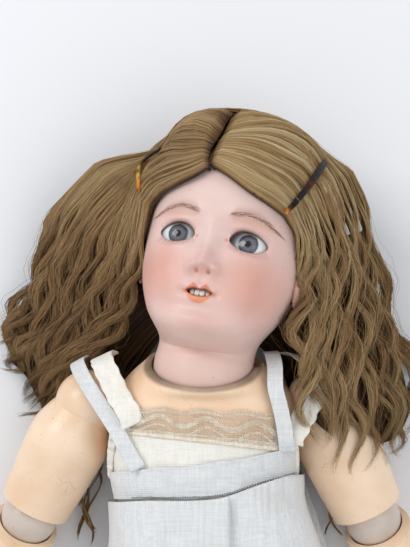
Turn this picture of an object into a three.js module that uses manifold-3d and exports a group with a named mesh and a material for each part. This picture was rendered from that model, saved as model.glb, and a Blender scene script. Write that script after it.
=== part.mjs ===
// A bisque socket-head doll on a strung, ball-jointed composition body, about 60 cm tall.
// It lies on its back: +Z is up out of the chest, the crown points to +Y, and the doll's
// own left is +X. The origin is the middle of the flat on which its back rests.
import * as THREE from "three";
import { mergeVertices } from "three/addons/utils/BufferGeometryUtils.js";
import Module from "manifold-3d";

const wasm = await Module();
wasm.setup();

// Driving dimensions in millimetres, angles in degrees

const GAP = 0.4; // between pieces that touch
const RUNNING = 0.6; // between a ball and its socket

// Head
const HEAD_HALF_WIDTH = 49.5;
const HEAD_FRONT = 54.2; // widest level to the brow
const HEAD_BACK = 51.5;
const HEAD_TOP = 67.5; // eye line to the crown
const CHIN_DROP = 52; // eye line to the front of the chin
const HEAD_WALL = 3.6;
const CROWN_CUT = 40; // from the centre of the head to the plane of the open crown
const CROWN_LEAN = 38; // of that plane towards the back
const EYE_SPACING = 43.6;
const EYE_OPENING_WIDTH = 22.6;
const EYE_OPENING_HEIGHT = 12.2;
const EYEBALL_RADIUS = 13.5;
const EYE_SET_BACK = 26; // eyeball centre in front of the ears
const EYEBALL_WALL = 2;
const MOUTH_WIDTH = 17.4;
const MOUTH_DROP = 35.4; // eye line to the mouth
const MOUTH_HEIGHT = 4.2;
const NOSE_DROP = 18.8; // eye line to the tip
const NOSE_HEIGHT = 10.5;
const NECK_BALL_RADIUS = 30.5;
const NECK_DROP = 70.5; // eye line to the centre of the neck ball
const NECK_BACK = 7; // neck behind the middle of the head
const EAR_DROP = 9;

// How the head lies
const HEAD_ROLL = 11.7;
const HEAD_TILT = 6.5;
const HEAD_YAW = 11.5;

// Torso
const SOCKET_SLOPE = 30; // of the neck opening, lower in front
const NECK_Y = 146.7;
const NECK_Z = 64;
const RIM_ABOVE_BALL = 4;
const TORSO_WALL = 4.5;
const SHOULDER_HALF_WIDTH = 57.5;
const WAIST_HALF_WIDTH = 48;
const HIP_HALF_WIDTH = 61;
const CHEST_DEPTH = 78;

// Arms
const SHOULDER_X = 71.5;
const SHOULDER_Y = 127;
const SHOULDER_Z = 48;
const SHOULDER_BALL = 20;
const UPPER_ARM_LENGTH = 84;
const UPPER_ARM_RADIUS = 25.5;
const ELBOW_BALL = 17.5;
const FOREARM_LENGTH = 74;
const FOREARM_RADIUS = 20;
const WRIST_RADIUS = 12.2;
const WRIST_BALL = 9.6;
const LEFT_ARM_SPREAD = 26;
const RIGHT_ARM_SPREAD = 28;
const ARM_SLOPE = 16.6;
const ELBOW_REST = 10; // bend of the elbow as it lies
const WRIST_REST = 4;
const PALM_TURN = 40;

// Legs
const HIP_X = 35;
const HIP_Y = -25;
const HIP_Z = 45;
const HIP_BALL = 23.5;
const THIGH_LENGTH = 132;
const THIGH_RADIUS = 29;
const KNEE_BALL = 20;
const SHANK_LENGTH = 124;
const CALF_RADIUS = 24;
const FOOT_LENGTH = 62;
const LEG_SPREAD = 5;
const LEG_SLOPE = 7.6;
const KNEE_REST = 4.8; // bend of the knee as it lies
const FOOT_TURN = 14;

// How far the joints go
const HEAD_TURN_RANGE = [-60, 0, 40];

// Stringing
const ELASTIC_RADIUS = 1.6;
const HOOK_WIRE = 1.4;
const CORD_BORE = 4;
const SPRING_WIRE = 0.9;
const SPRING_TURNS = 3;
const LEG_CORD_LEAN = 12;

// Clothes and wig
const CLOTH = 1.2;
const CHEMISE_EASE = 1.2; // chemise off the body
const PINAFORE_EASE = 3.2; // pinafore off the body
const STRAP_WIDTH = 9.5;
const SHOULDER_BAND = 14; // chemise strap
const CAP_EASE = 2.2; // cap off the bisque
const WIG_CAP = 1.2;
const HAIR_TOP = 21; // thickness of the combed hair over the crown
const HAIR_SIDE = 15;
const HAIR_UNDER = 4.5; // pressed under the head
const PARTING_X = 7;
const PARTING_LEAN = 18;
const BARRETTE_WIDTH = 4.2;

const RAD = Math.PI / 180;
const V = (x, y, z) => new THREE.Vector3(x, y, z);
const bump = (u) => Math.exp(-u * u);
const clamp = (v, low, high) => Math.min(high, Math.max(low, v));
const smooth = (v) => v * v * (3 - 2 * v);
const ramp = (v, from, to) => smooth(clamp((v - from) / (to - from), 0, 1));

// Materials

const finish = (color, roughness, metalness = 0) =>
  new THREE.MeshStandardMaterial({ color, roughness, metalness });
const bisque = finish("#e6cdc5", 0.5);
const composition = finish("#efcfab", 0.32);
const hair = finish("#8c6f45", 0.6);
const gauze = finish("#c9bfa8", 0.9);
const card = finish("#b79a72", 0.9);
const glass = finish("#dfe2e4", 0.08);
const lead = finish("#6d6f72", 0.6, 0.8);
const iron = finish("#4d4a47", 0.55, 0.9);
const wood = finish("#c6a878", 0.65);
const tooth = finish("#f2efe6", 0.25);
const shell = finish("#4a3324", 0.25);
const elastic = finish("#cfc7b5", 0.9);
const cotton = finish("#e9e4d6", 0.95);
const linen = finish("#d3d8da", 0.95);

// Solids: closed geometry in, joined and cut, geometry out

function solidOf(geometry) {
  const bare = geometry.clone();
  bare.deleteAttribute("normal");
  bare.deleteAttribute("uv");
  const merged = mergeVertices(bare, 1e-4);
  return new wasm.Manifold(
    new wasm.Mesh({
      numProp: 3,
      vertProperties: new Float32Array(merged.attributes.position.array),
      triVerts: new Uint32Array(merged.index.array),
    }),
  );
}

function geometryOf(solid) {
  const made = solid.getMesh();
  const geometry = new THREE.BufferGeometry();
  geometry.setAttribute("position", new THREE.BufferAttribute(made.vertProperties, 3));
  geometry.setIndex(new THREE.BufferAttribute(made.triVerts, 1));
  geometry.computeVertexNormals();
  return geometry;
}

// The largest body of a solid that a cut may have left in several
function mainBody(solid) {
  const bodies = solid.decompose();
  bodies.sort((a, b) => b.volume() - a.volume());
  return bodies[0];
}

// A skin over rings of equal count, closed at both ends, facing out whichever way it ran.
// A flat ring, out along one face and back along the other, is closed from face to face.
function skin(rings, flat = false) {
  const count = rings[0].length;
  const points = rings.flat();
  const index = [];
  for (let i = 0; i + 1 < rings.length; i++) {
    for (let j = 0; j < count; j++) {
      const next = (j + 1) % count;
      const a = i * count + j;
      const b = i * count + next;
      index.push(a, b, b + count, a, b + count, a + count);
    }
  }
  for (const end of flat ? [0, rings.length - 1] : []) {
    for (let j = 0; j + 1 < count / 2; j++) {
      const [a, b] = [end * count + j, end * count + j + 1];
      const [c, d] = [end * count + count - 2 - j, end * count + count - 1 - j];
      index.push(...(end === 0 ? [a, c, b, a, d, c] : [a, b, c, a, c, d]));
    }
  }
  for (const end of flat ? [] : [0, rings.length - 1]) {
    const middle = rings[end]
      .reduce((sum, p) => sum.add(p), V(0, 0, 0))
      .divideScalar(count);
    const tip = points.push(middle) - 1;
    for (let j = 0; j < count; j++) {
      const a = end * count + j;
      const b = end * count + ((j + 1) % count);
      index.push(...(end === 0 ? [tip, b, a] : [tip, a, b]));
    }
  }
  let volume = 0;
  for (let i = 0; i < index.length; i += 3) {
    const [a, b, c] = [0, 1, 2].map((k) => points[index[i + k]]);
    volume += a.dot(b.clone().cross(c));
  }
  if (volume < 0) index.reverse();
  const geometry = new THREE.BufferGeometry();
  geometry.setAttribute(
    "position",
    new THREE.Float32BufferAttribute(points.flatMap((p) => [p.x, p.y, p.z]), 3),
  );
  geometry.setIndex(index);
  return geometry;
}

const ball = (radius, x = 0, y = 0, z = 0, across = 20, up = 14) =>
  solidOf(new THREE.SphereGeometry(radius, across, up).translate(x, y, z));

const box = (low, high) =>
  solidOf(
    new THREE.BoxGeometry(high[0] - low[0], high[1] - low[1], high[2] - low[2]).translate(
      (low[0] + high[0]) / 2,
      (low[1] + high[1]) / 2,
      (low[2] + high[2]) / 2,
    ),
  );

// A round rod or tube of wire along points
function wire(points, radius, sides = 8, steps = points.length * 4) {
  const outline = new THREE.Shape();
  outline.absarc(0, 0, radius, 0, 2 * Math.PI);
  return new THREE.ExtrudeGeometry(outline, {
    curveSegments: sides / 2,
    steps,
    bevelEnabled: false,
    extrudePath: new THREE.CatmullRomCurve3(points),
  });
}

// A smooth curve through values given at whole numbers 0, 1, 2, ...
function along(values, t) {
  const last = values.length - 1;
  const i = clamp(Math.floor(t), 0, last - 1);
  const u = t - i;
  const at = (k) => values[clamp(k, 0, last)];
  const [p, a, b, n] = [at(i - 1), at(i), at(i + 1), at(i + 2)];
  return (
    0.5 *
    (2 * a +
      (b - p) * u +
      (2 * p - 5 * a + 4 * b - n) * u * u +
      (3 * a - p - 3 * b + n) * u * u * u)
  );
}

const parts = new THREE.Group();

function piece(parent, name, made, material) {
  const geometry = made.isBufferGeometry ? made : geometryOf(made);
  const mesh = new THREE.Mesh(geometry, material);
  mesh.name = name;
  parent.add(mesh);
  return mesh;
}

// The form of the head: rows of rounded sections from the neck ball to the crown. Each row
// has the height and the slope of its plane, its half width, the place of its widest point,
// its depth in front of and behind that, and how square its outline is.

const wide = HEAD_HALF_WIDTH / 49.5;
const front = HEAD_FRONT / 54.2;
const back = HEAD_BACK / 54.5;
const low = CHIN_DROP / 52;
const high = HEAD_TOP / 67.5;

const ballRow = (angle) => {
  const r = NECK_BALL_RADIUS * Math.cos(angle * RAD);
  const y = -NECK_DROP + NECK_BALL_RADIUS * Math.sin(angle * RAD);
  return [y, 0, r, -NECK_BACK, r, r, 2];
};
const faceRow = (y, slope, half, middle, ahead, behind, square) => [
  y * (y < 0 ? low : high),
  slope,
  half * wide,
  middle,
  ahead * front,
  behind * back,
  square,
];
const headRows = [
  ballRow(-52),
  ballRow(-34),
  ballRow(-16),
  ballRow(2),
  [-61.8, 0.09, 29, -NECK_BACK, 29, 29, 2],
  faceRow(-54.8, 0.3, 28.9, -7, 32, 30, 2),
  faceRow(-49.8, 0.32, 30.6, -7, 41, 36, 2),
  faceRow(-44.8, 0.32, 34.6, -6, 47, 42, 2.02),
  faceRow(-40.2, 0.31, 37.9, -5, 51.4, 46, 2.04),
  faceRow(-36, 0.3, 40.4, -5, 53.2, 48.5, 2.08),
  faceRow(-31, 0.27, 42.8, -4, 51.4, 50.5, 2.14),
  faceRow(-24.5, 0.22, 45.2, -4, 52.8, 52, 2.2),
  faceRow(-15.5, 0.15, 47.4, -4, 53, 53.2, 2.25),
  faceRow(-5, 0.08, 48.7, -4, 52.6, 54, 2.28),
  faceRow(6, 0, 49.3, -4, 53, 54.5, 2.28),
  faceRow(17, -0.05, 49.5, -4, 54.2, 54.5, 2.22),
  faceRow(29, -0.1, 48.3, -4, 53, 53.5, 2.14),
  faceRow(41, -0.12, 44.2, -4, 48, 49.5, 2.06),
  faceRow(52, -0.1, 36.3, -4, 39, 42.5, 2),
  faceRow(60.5, -0.06, 25.6, -4, 27.5, 31, 2),
  faceRow(65.8, 0, 13.4, -4, 14.5, 16.5, 2),
];
const headColumns = [0, 1, 2, 3, 4, 5, 6].map((k) => headRows.map((row) => row[k]));

// A point of the plain head at row t and angle a, which is 0 in front and grows to the left
function headForm(t, a) {
  const [y, slope, half, middle, ahead, behind, square] = headColumns.map((c) => along(c, t));
  const s = Math.sin(a);
  const c = Math.cos(a);
  const r = (Math.abs(s) ** square + Math.abs(c) ** square) ** (-1 / square);
  const depth = (c > 0 ? ahead : behind) * r * c;
  return V(half * r * s, y - slope * depth, middle + depth);
}

// The same point moved out along the surface's own normal
function headOffset(t, a, out) {
  const p = headForm(t, a);
  const step = 0.02;
  const dt = headForm(t + step, a).sub(headForm(t - step, a));
  const da = headForm(t, a + step).sub(headForm(t, a - step));
  return p.add(da.cross(dt).normalize().multiplyScalar(out));
}

// Height of the modelled features over the plain head, at x across and y up the face
function faceRelief(x, y) {
  const ax = Math.abs(x);
  const below = -NOSE_DROP - y;
  const ridge =
    below > 0
      ? NOSE_HEIGHT * bump(below / 3.9)
      : 1.2 * bump((y - 4) / 9) + NOSE_HEIGHT * (1 - ramp(-below, 0, 24)) ** 1.25;
  const ridgeWidth = 4.4 + 2.2 * bump((y + NOSE_DROP) / 8);
  const nose = ridge * bump(x / ridgeWidth);
  const wings = 4.4 * bump((ax - 7.6) / 3) * bump((y + NOSE_DROP + 2.4) / 3.4);
  const nostrils = -1.8 * bump((ax - 3.6) / 1.6) * bump((y + NOSE_DROP + 4) / 1.5);
  const sockets =
    -3.6 * bump((ax - EYE_SPACING / 2 + 2) / 12) * bump((y - 0.5) / 8.5) -
    1.8 * bump((ax - 9.5) / 4.5) * bump((y + 1) / 8);
  const lids =
    1.5 * bump((ax - EYE_SPACING / 2) / 10.5) * (bump((y - 7.4) / 2.8) + 0.7 * bump((y + 7) / 3));
  const brows = 1.3 * bump((ax - 22) / 15) * bump((y - 15) / 6);
  const cheeks = 2.6 * bump((ax - 27) / 13) * bump((y + 25) / 14);
  const mouth = -MOUTH_DROP;
  const upperLip =
    2.3 * bump((y - mouth - 3.2) / 2.5) * bump(x / 8.2) -
    0.9 * bump(x / 1.9) * bump((y - mouth - 4) / 2.6);
  const lowerLip = 2.5 * bump((y - mouth + 4.2) / 2.5) * bump(x / 7);
  const corners = -1.4 * bump((ax - 10.6) / 2.6) * bump((y - mouth) / 2.6);
  const sulcus = -0.9 * bump(x / 9) * bump((y - mouth + 10) / 3);
  const philtrum = -0.7 * bump(x / 1.7) * bump((y - mouth - 8.4) / 3.2);
  const chin = 2.4 * bump(x / 10.5) * bump((y + CHIN_DROP + 0.5) / 6.5);
  return (
    nose + wings + nostrils + sockets + lids + brows + cheeks +
    upperLip + lowerLip + corners + sulcus + philtrum + chin
  );
}

function headSkinPoint(t, a) {
  const p = headForm(t, a);
  const facing = ramp(p.z, 0, 24);
  p.z += facing * faceRelief(p.x, p.y);
  return p;
}

// Rows closer together over the face, columns closer together in front
const rowSteps = [1, 1, 1, 1, 1, 1, 1, 2, 2, 3, 3, 3, 3, 2, 1, 1, 1, 1, 1, 1];
const headLevels = rowSteps.flatMap((n, i) => Array.from({ length: n }, (_, k) => i + k / n));
headLevels.push(headRows.length - 1);
const headAngles = (count) =>
  Array.from({ length: count }, (_, j) => {
    const s = (2 * j) / count - 1;
    return Math.PI * s * (0.22 + 0.78 * Math.abs(s) ** 1.25);
  });

const evenAngles = (count) => Array.from({ length: count }, (_, j) => (2 * Math.PI * j) / count);
const headShell = (point, levels, angles) =>
  solidOf(skin(levels.map((t) => angles.map((a) => point(t, a)))));

// Almond and crescent outlines of the eye and mouth openings

function eyeOutline(side, grow = 0) {
  const half = EYE_OPENING_WIDTH / 2 + grow;
  const up = EYE_OPENING_HEIGHT * 0.52 + grow;
  const down = EYE_OPENING_HEIGHT * 0.48 + grow;
  const shape = new THREE.Shape();
  const steps = 16;
  for (let i = 0; i < steps; i++) {
    const u = (2 * Math.PI * i) / steps;
    const x = half * Math.cos(u);
    const y = (u < Math.PI ? up : down) * Math.sin(u) * (1 - 0.12 * Math.cos(u) ** 2);
    const px = (side * EYE_SPACING) / 2 + x;
    if (i === 0) shape.moveTo(px, y);
    else shape.lineTo(px, y);
  }
  return shape;
}

function mouthOutline() {
  const half = MOUTH_WIDTH / 2;
  const shape = new THREE.Shape();
  shape.moveTo(-half, -MOUTH_DROP + 0.8);
  shape.quadraticCurveTo(-half * 0.5, -MOUTH_DROP + MOUTH_HEIGHT * 0.62, 0, -MOUTH_DROP + 1.6);
  shape.quadraticCurveTo(half * 0.5, -MOUTH_DROP + MOUTH_HEIGHT * 0.62, half, -MOUTH_DROP + 0.8);
  shape.quadraticCurveTo(0, -MOUTH_DROP - MOUTH_HEIGHT * 1.15, -half, -MOUTH_DROP + 0.8);
  return shape;
}

const through = (shape, from, to, segments = 6) =>
  solidOf(
    new THREE.ExtrudeGeometry(shape, {
      depth: to - from,
      bevelEnabled: false,
      curveSegments: segments,
    }).translate(0, 0, from),
  );

// Everything beyond the plane of the open crown, which leans to the back
function beyondCrown(shift = 0) {
  const side = 160;
  const cut = new THREE.BoxGeometry(side, side, side);
  cut.translate(0, side / 2 + CROWN_CUT + shift, 0);
  cut.rotateX(-CROWN_LEAN * RAD);
  return solidOf(cut);
}

const head = new THREE.Group();
head.rotation.set(-HEAD_TILT * RAD, -HEAD_YAW * RAD, -HEAD_ROLL * RAD, "ZXY");
const neckInHead = V(0, -NECK_DROP, -NECK_BACK);
head.position.copy(V(0, NECK_Y, NECK_Z)).sub(neckInHead.clone().applyEuler(head.rotation));
parts.add(head);
head.updateMatrixWorld(true);

const smoothLevels = headRows.map((_, i) => i);
const hollowLevels = [0, 1, 2, 4, 6, 8, 10, 12, 14, 16, 17, 18, 19];

function makeBisqueHead() {
  const outside = headShell(headSkinPoint, headLevels, headAngles(26));
  const inside = headShell((t, a) => headOffset(t, a, -HEAD_WALL), hollowLevels, evenAngles(12));
  const neckMouth = solidOf(
    new THREE.CylinderGeometry(15, 15, 30, 20).translate(
      0,
      -NECK_DROP - NECK_BALL_RADIUS,
      -NECK_BACK,
    ),
  );
  let made = outside;
  for (const side of [-1, 1]) {
    const ear = solidOf(
      new THREE.SphereGeometry(1, 8, 8)
        .scale(6.5, 16, 9)
        .translate(side * (HEAD_HALF_WIDTH - 1.4), -EAR_DROP, -3),
    );
    const concha = solidOf(
      new THREE.SphereGeometry(1, 6, 5)
        .scale(4, 8, 5)
        .translate(side * (HEAD_HALF_WIDTH + 5.6), -EAR_DROP + 2, -1),
    );
    made = made.add(ear.subtract(concha));
  }
  made = made.subtract(inside).subtract(neckMouth).subtract(beyondCrown());
  for (const side of [-1, 1]) {
    made = made.subtract(through(eyeOutline(side), 20, 80));
    made = made.subtract(
      ball(EYEBALL_RADIUS + RUNNING + 0.4, (side * EYE_SPACING) / 2, 0, EYE_SET_BACK, 12, 8),
    );
  }
  return mainBody(made.subtract(through(mouthOutline(), 34, 80)));
}
piece(head, "bisque_head", makeBisqueHead(), bisque);

// Cardboard dome set in the open crown, level with the bisque
const pateOut = headShell((t, a) => headOffset(t, a, -GAP - 0.6), smoothLevels.filter((t) => t % 2 === 0), evenAngles(18));
const pateIn = headShell((t, a) => headOffset(t, a, -GAP - 2.6), smoothLevels.filter((t) => t % 2 === 0), evenAngles(12));
piece(head, "pate", pateOut.subtract(pateIn).intersect(beyondCrown(GAP)), card);

// Glass eyes, joined by a wire that carries the weight and swings in the head

for (const side of [-1, 1]) {
  const name = side > 0 ? "left_eye" : "right_eye";
  const x = (side * EYE_SPACING) / 2;
  const hollow = ball(EYEBALL_RADIUS - EYEBALL_WALL, x, 0, EYE_SET_BACK, 8, 6);
  const opening = box([x - 6, -6, EYE_SET_BACK - 20], [x + 6, 6, EYE_SET_BACK - 4]);
  const eyeball = ball(EYEBALL_RADIUS, x, 0, EYE_SET_BACK, 12, 8);
  piece(head, name, eyeball.subtract(hollow).subtract(opening), glass);
}

const reach = EYE_SPACING / 2 - 3;
const rockerBack = EYE_SET_BACK - EYEBALL_RADIUS + 0.7;
const crossWire = wire([V(-reach, 0, rockerBack), V(0, 0, rockerBack - 5), V(reach, 0, rockerBack)], 1, 6, 6);
const dropWire = wire([V(0, 0, rockerBack - 5), V(0, -7, rockerBack - 9), V(0, -15, rockerBack - 11)], 1, 6, 4);
const weight = new THREE.CylinderGeometry(7, 6, 11, 10).translate(0, -18, rockerBack - 11);
piece(head, "eye_rocker", solidOf(crossWire).add(solidOf(dropWire)).add(solidOf(weight)), lead);

// Four rounded teeth on a strip behind the upper lip
function makeTeeth() {
  const pitch = 3.1;
  const top = -MOUTH_DROP + 5.2;
  let made = box([-2 * pitch, top - 3.4, 40], [2 * pitch, top + 0.6, 41.8]);
  for (const k of [-1.5, -0.5, 0.5, 1.5]) {
    const one = new THREE.CylinderGeometry(pitch / 2 - 0.05, pitch / 2 - 0.2, 4.4, 6);
    made = made.add(solidOf(one.translate(k * pitch, top - 4.5, 42 - 0.12 * k * k)));
  }
  return made;
}
piece(head, "upper_teeth", makeTeeth(), tooth);

// Wig: a gauze cap, the combed top in two halves, the hair under the head and the locks

function faceWindow(grow = 0) {
  const half = 42 + grow;
  const shape = new THREE.Shape();
  shape.moveTo(-half, -120);
  shape.lineTo(-half, 8);
  shape.quadraticCurveTo(-half + 4, 30, -14, 43 + grow);
  shape.quadraticCurveTo(-10, 47 + grow, -6, 43 + grow);
  shape.quadraticCurveTo(half - 8, 30, half, 8);
  shape.lineTo(half, -120);
  return shape;
}

// What lies under a level, in the head's own frame
function underFloor(level) {
  const floor = new THREE.BoxGeometry(800, 800, 100).translate(0, 200, level - 50);
  return floor.applyMatrix4(head.matrixWorld.clone().invert());
}

const upperLevels = [7, 9, 11, 13, 14, 15, 16, 17, 18, 19, 20];
const capOut = headShell((t, a) => headOffset(t, a, CAP_EASE + WIG_CAP), upperLevels, evenAngles(16));
const capIn = headShell((t, a) => headOffset(t, a, CAP_EASE), upperLevels, evenAngles(16));
const belowEars = (y) => box([-120, -200, -120], [120, y, 120]);
const capCut = through(faceWindow(1), 0, 140).add(belowEars(-22));
const earClear = (side) =>
  solidOf(
    new THREE.SphereGeometry(1, 10, 7)
      .scale(9, 20, 12)
      .translate(side * (HEAD_HALF_WIDTH - 1.4), -EAR_DROP, -3),
  );
piece(
  head,
  "wig_cap",
  mainBody(capOut.subtract(capIn).subtract(capCut).subtract(earClear(1)).subtract(earClear(-1))),
  gauze,
);

// Thickness of the combed hair: full over the top, pressed flat behind, in shallow locks
function hairThickness(t, a) {
  const side = Math.abs(a > Math.PI ? a - 2 * Math.PI : a);
  const inward = Math.max(ramp(side, 0.85, 1.5), ramp(t, 16.4, 18.8));
  const crown = ramp(t, 13, 19);
  const behind = ramp(-Math.cos(a), -0.1, 0.75) * (1 - crown);
  const full = HAIR_SIDE + (HAIR_TOP - HAIR_SIDE) * crown;
  const plain = full * (0.28 + 0.72 * inward);
  const combed = plain + (HAIR_UNDER - plain) * behind;
  const waves = 0.8 * Math.cos(8 * a + 2.2 * Math.sin(1.4 * t)) * (1 - ramp(t, 17, 20));
  return combed + waves * (1 - behind) * inward;
}

const hairIn = CAP_EASE + WIG_CAP + GAP + 0.2;
const hairOuter = headShell(
  (t, a) => headOffset(t, a, hairIn + hairThickness(t, a)),
  upperLevels,
  evenAngles(24),
);
const hairInner = headShell((t, a) => headOffset(t, a, hairIn), upperLevels, evenAngles(16));
const hairDome = hairOuter
  .subtract(hairInner)
  .subtract(through(faceWindow(), 0, 140))
  .subtract(earClear(1))
  .subtract(earClear(-1))
  .subtract(belowEars(-24))
  .subtract(solidOf(underFloor(0.5)));

// The two halves part along a line that runs askew, up and to the left of the head's middle
function leftOfParting(side) {
  const half = new THREE.BoxGeometry(200, 300, 300);
  half.translate(side * (100 + GAP / 2), 0, 0);
  half.rotateZ(-PARTING_LEAN * RAD);
  half.translate(PARTING_X, 44, 0);
  return solidOf(half);
}
for (const side of [-1, 1]) {
  const name = side > 0 ? "hair_crown_left" : "hair_crown_right";
  piece(head, name, mainBody(hairDome.intersect(leftOfParting(side))), hair);
}

// Hair slides: a slim curved bar lying on the combed hair either side
function makeBarrette(from, to, grow = 0) {
  const rings = [];
  const steps = 5;
  for (let i = 0; i <= steps; i++) {
    const u = i / steps;
    const t = from[0] + (to[0] - from[0]) * u;
    const a = from[1] + (to[1] - from[1]) * u;
    const here = headOffset(t, a, hairIn + hairThickness(t, a) + 1.6);
    const next = headOffset(t + (to[0] - from[0]) * 0.02, a + (to[1] - from[1]) * 0.02, hairIn + hairThickness(t, a) + 1.6);
    const up = headOffset(t, a, hairIn + 40).sub(here).normalize();
    const run = next.sub(here).normalize();
    const across = run.clone().cross(up).normalize();
    const taper = Math.sqrt(1 - 0.75 * Math.abs(2 * u - 1) ** 6);
    const ring = [];
    for (let j = 0; j < 6; j++) {
      const w = (2 * Math.PI * j) / 6;
      ring.push(
        here
          .clone()
          .addScaledVector(across, (BARRETTE_WIDTH / 2 + grow) * taper * Math.cos(w))
          .addScaledVector(up, (1.1 + grow) * taper * Math.sin(w)),
      );
    }
    rings.push(ring);
  }
  return solidOf(skin(rings));
}
const hairClear = headShell(
  (t, a) => headOffset(t, a, hairIn + hairThickness(t, a) + GAP),
  upperLevels,
  evenAngles(24),
);
piece(head, "right_barrette", makeBarrette([17.3, -1.18], [15.1, -0.94]).subtract(hairClear), shell);
piece(head, "left_barrette", makeBarrette([17.5, 1.18], [15.4, 0.7]).subtract(hairClear), shell);

// Neck: a turned plug in the bisque neck, the iron hook through it and its spring

const neck = new THREE.Group();
neck.position.set(0, NECK_Y, NECK_Z);
neck.rotation.copy(head.rotation);
parts.add(neck);

const plugRadius = NECK_BALL_RADIUS - HEAD_WALL - 2 * RUNNING;
const onPlug = (angle) =>
  new THREE.Vector2(plugRadius * Math.cos(angle * RAD), plugRadius * Math.sin(angle * RAD));
const plugTop = onPlug(-24);
const plugBottom = onPlug(-57);
piece(
  neck,
  "neck_button",
  new THREE.LatheGeometry(
    [
      new THREE.Vector2(HOOK_WIRE + 1, plugTop.y),
      new THREE.Vector2(HOOK_WIRE + 1, plugBottom.y),
      plugBottom,
      onPlug(-46),
      onPlug(-35),
      plugTop,
      new THREE.Vector2(HOOK_WIRE + 1, plugTop.y),
    ],
    12,
  ),
  wood,
);

const springTop = plugTop.y + 20;
const hookPath = [V(0, springTop + 1, 0), V(0, -10, 0), V(0, -40, 0), V(0, -47, 3), V(0, -51, 0), V(0, -48, -4), V(0, -43, -4.4)];
const washer = new THREE.CylinderGeometry(8, 8, 1.6, 10).translate(0, springTop + 1.2, 0);
piece(neck, "neck_hook", solidOf(wire(hookPath, HOOK_WIRE, 6, 14)).add(solidOf(washer)), iron);

// One unbroken wire wound round the hook between plug and washer
class Helix extends THREE.Curve {
  constructor(radius, from, to, turns) {
    super();
    Object.assign(this, { radius, from, to, turns });
  }
  getPoint(t) {
    const angle = 2 * Math.PI * this.turns * t;
    return V(
      this.radius * Math.cos(angle),
      this.from + (this.to - this.from) * t,
      this.radius * Math.sin(angle),
    );
  }
}
const springWire = new THREE.Shape();
springWire.absarc(0, 0, SPRING_WIRE, 0, 2 * Math.PI);
piece(
  neck,
  "neck_spring",
  new THREE.ExtrudeGeometry(springWire, {
    curveSegments: 3,
    steps: 6 * SPRING_TURNS,
    bevelEnabled: false,
    extrudePath: new Helix(
      5,
      plugTop.y + SPRING_WIRE + GAP,
      springTop - SPRING_WIRE - GAP,
      SPRING_TURNS,
    ),
  }),
  iron,
);

// Torso: rows of rounded sections from the sloping neck rim to the crotch, hollow, with a
// cup for the neck ball, for each arm and for each leg

const slope = Math.tan(SOCKET_SLOPE * RAD);
const rimY = NECK_Y + RIM_ABOVE_BALL * Math.cos(SOCKET_SLOPE * RAD);
const rimZ = NECK_Z + RIM_ABOVE_BALL * Math.sin(SOCKET_SLOPE * RAD);
const rimOut = NECK_BALL_RADIUS + RUNNING + 3;
const chest = CHEST_DEPTH / 78;
const shoulders = SHOULDER_HALF_WIDTH / 59;
const waist = WAIST_HALF_WIDTH / 48;
const hips = HIP_HALF_WIDTH / 61;
const bodyRow = (down, lean, half, middle, ahead, bottom, square = 2.2) => [
  rimY - down,
  lean,
  half,
  middle,
  ahead,
  middle - bottom,
  square,
];
const rimDepth = rimOut * Math.cos(SOCKET_SLOPE * RAD);
const torsoRows = [
  bodyRow(0, slope, rimOut, rimZ, rimDepth, rimZ - rimDepth, 2),
  bodyRow(3.5, slope * 0.92, rimOut + 4.5, rimZ - 1, rimDepth + 1.5, 32, 2),
  bodyRow(11, slope * 0.72, 49 * shoulders, 60, 31 * chest, 21),
  bodyRow(21, slope * 0.5, 57 * shoulders, 56, 34 * chest, 12),
  bodyRow(33, slope * 0.3, 59 * shoulders, 53, 37 * chest, 9),
  bodyRow(50, slope * 0.13, 57 * shoulders, 50, 39 * chest, 8),
  bodyRow(73, 0.02, 53 * waist, 48, 39.5 * chest, 7.5),
  bodyRow(98, 0, 48.5 * waist, 46, 38 * chest, 6),
  bodyRow(122, 0, 51 * waist, 45, 39.5 * chest, 4.2),
  bodyRow(142, 0, 57 * hips, 45, 39, 2.6),
  bodyRow(164, 0, 61 * hips, 45, 36, 2),
  bodyRow(183, 0, 58 * hips, 44, 31, 2.4),
  bodyRow(197, 0, 47 * hips, 43, 23, 5),
  bodyRow(206, 0, 28 * hips, 42, 13, 18, 2),
];
const torsoColumns = [0, 1, 2, 3, 4, 5, 6].map((k) => torsoRows.map((row) => row[k]));

function torsoForm(t, a) {
  const [y, lean, half, middle, ahead, behind, square] = torsoColumns.map((c) => along(c, t));
  const s = Math.sin(a);
  const c = Math.cos(a);
  const r = (Math.abs(s) ** square + Math.abs(c) ** square) ** (-1 / square);
  const depth = (c > 0 ? ahead : behind) * r * c;
  return V(half * r * s, y - lean * depth, middle + depth);
}

function torsoOffset(t, a, out) {
  const p = torsoForm(t, a);
  if (out === 0) return p;
  const step = 0.02;
  const dt = torsoForm(t + step, a).sub(torsoForm(t - step, a));
  const da = torsoForm(t, a + step).sub(torsoForm(t, a - step));
  return p.add(dt.cross(da).normalize().multiplyScalar(out));
}

const torsoLevels = torsoRows.map((_, i) => i);
const torsoShell = (out, count = 18, levels = torsoLevels) =>
  solidOf(skin(levels.map((t) => evenAngles(count).map((a) => torsoOffset(t, a, out)))));

const slab = (axis, from, to) => {
  const lowest = [-300, -400, -200];
  const highest = [300, 400, 300];
  lowest[axis] = from;
  highest[axis] = to;
  return box(lowest, highest);
};

// Room for the nape under the head at rest and turned to each side
function napeRoom() {
  const form = headShell((t, a) => headOffset(t, a, 3.3), [4, 6, 8, 11], evenAngles(10));
  let room;
  for (const turn of HEAD_TURN_RANGE) {
    const pose = new THREE.Matrix4().makeRotationY(turn * RAD);
    const about = new THREE.Matrix4().makeTranslation(neckInHead.x, neckInHead.y, neckInHead.z);
    const turned = head.matrixWorld.clone().multiply(about).multiply(pose).multiply(about.invert());
    const one = form.transform(turned.elements);
    room = room ? room.add(one) : one;
  }
  return room;
}

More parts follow.
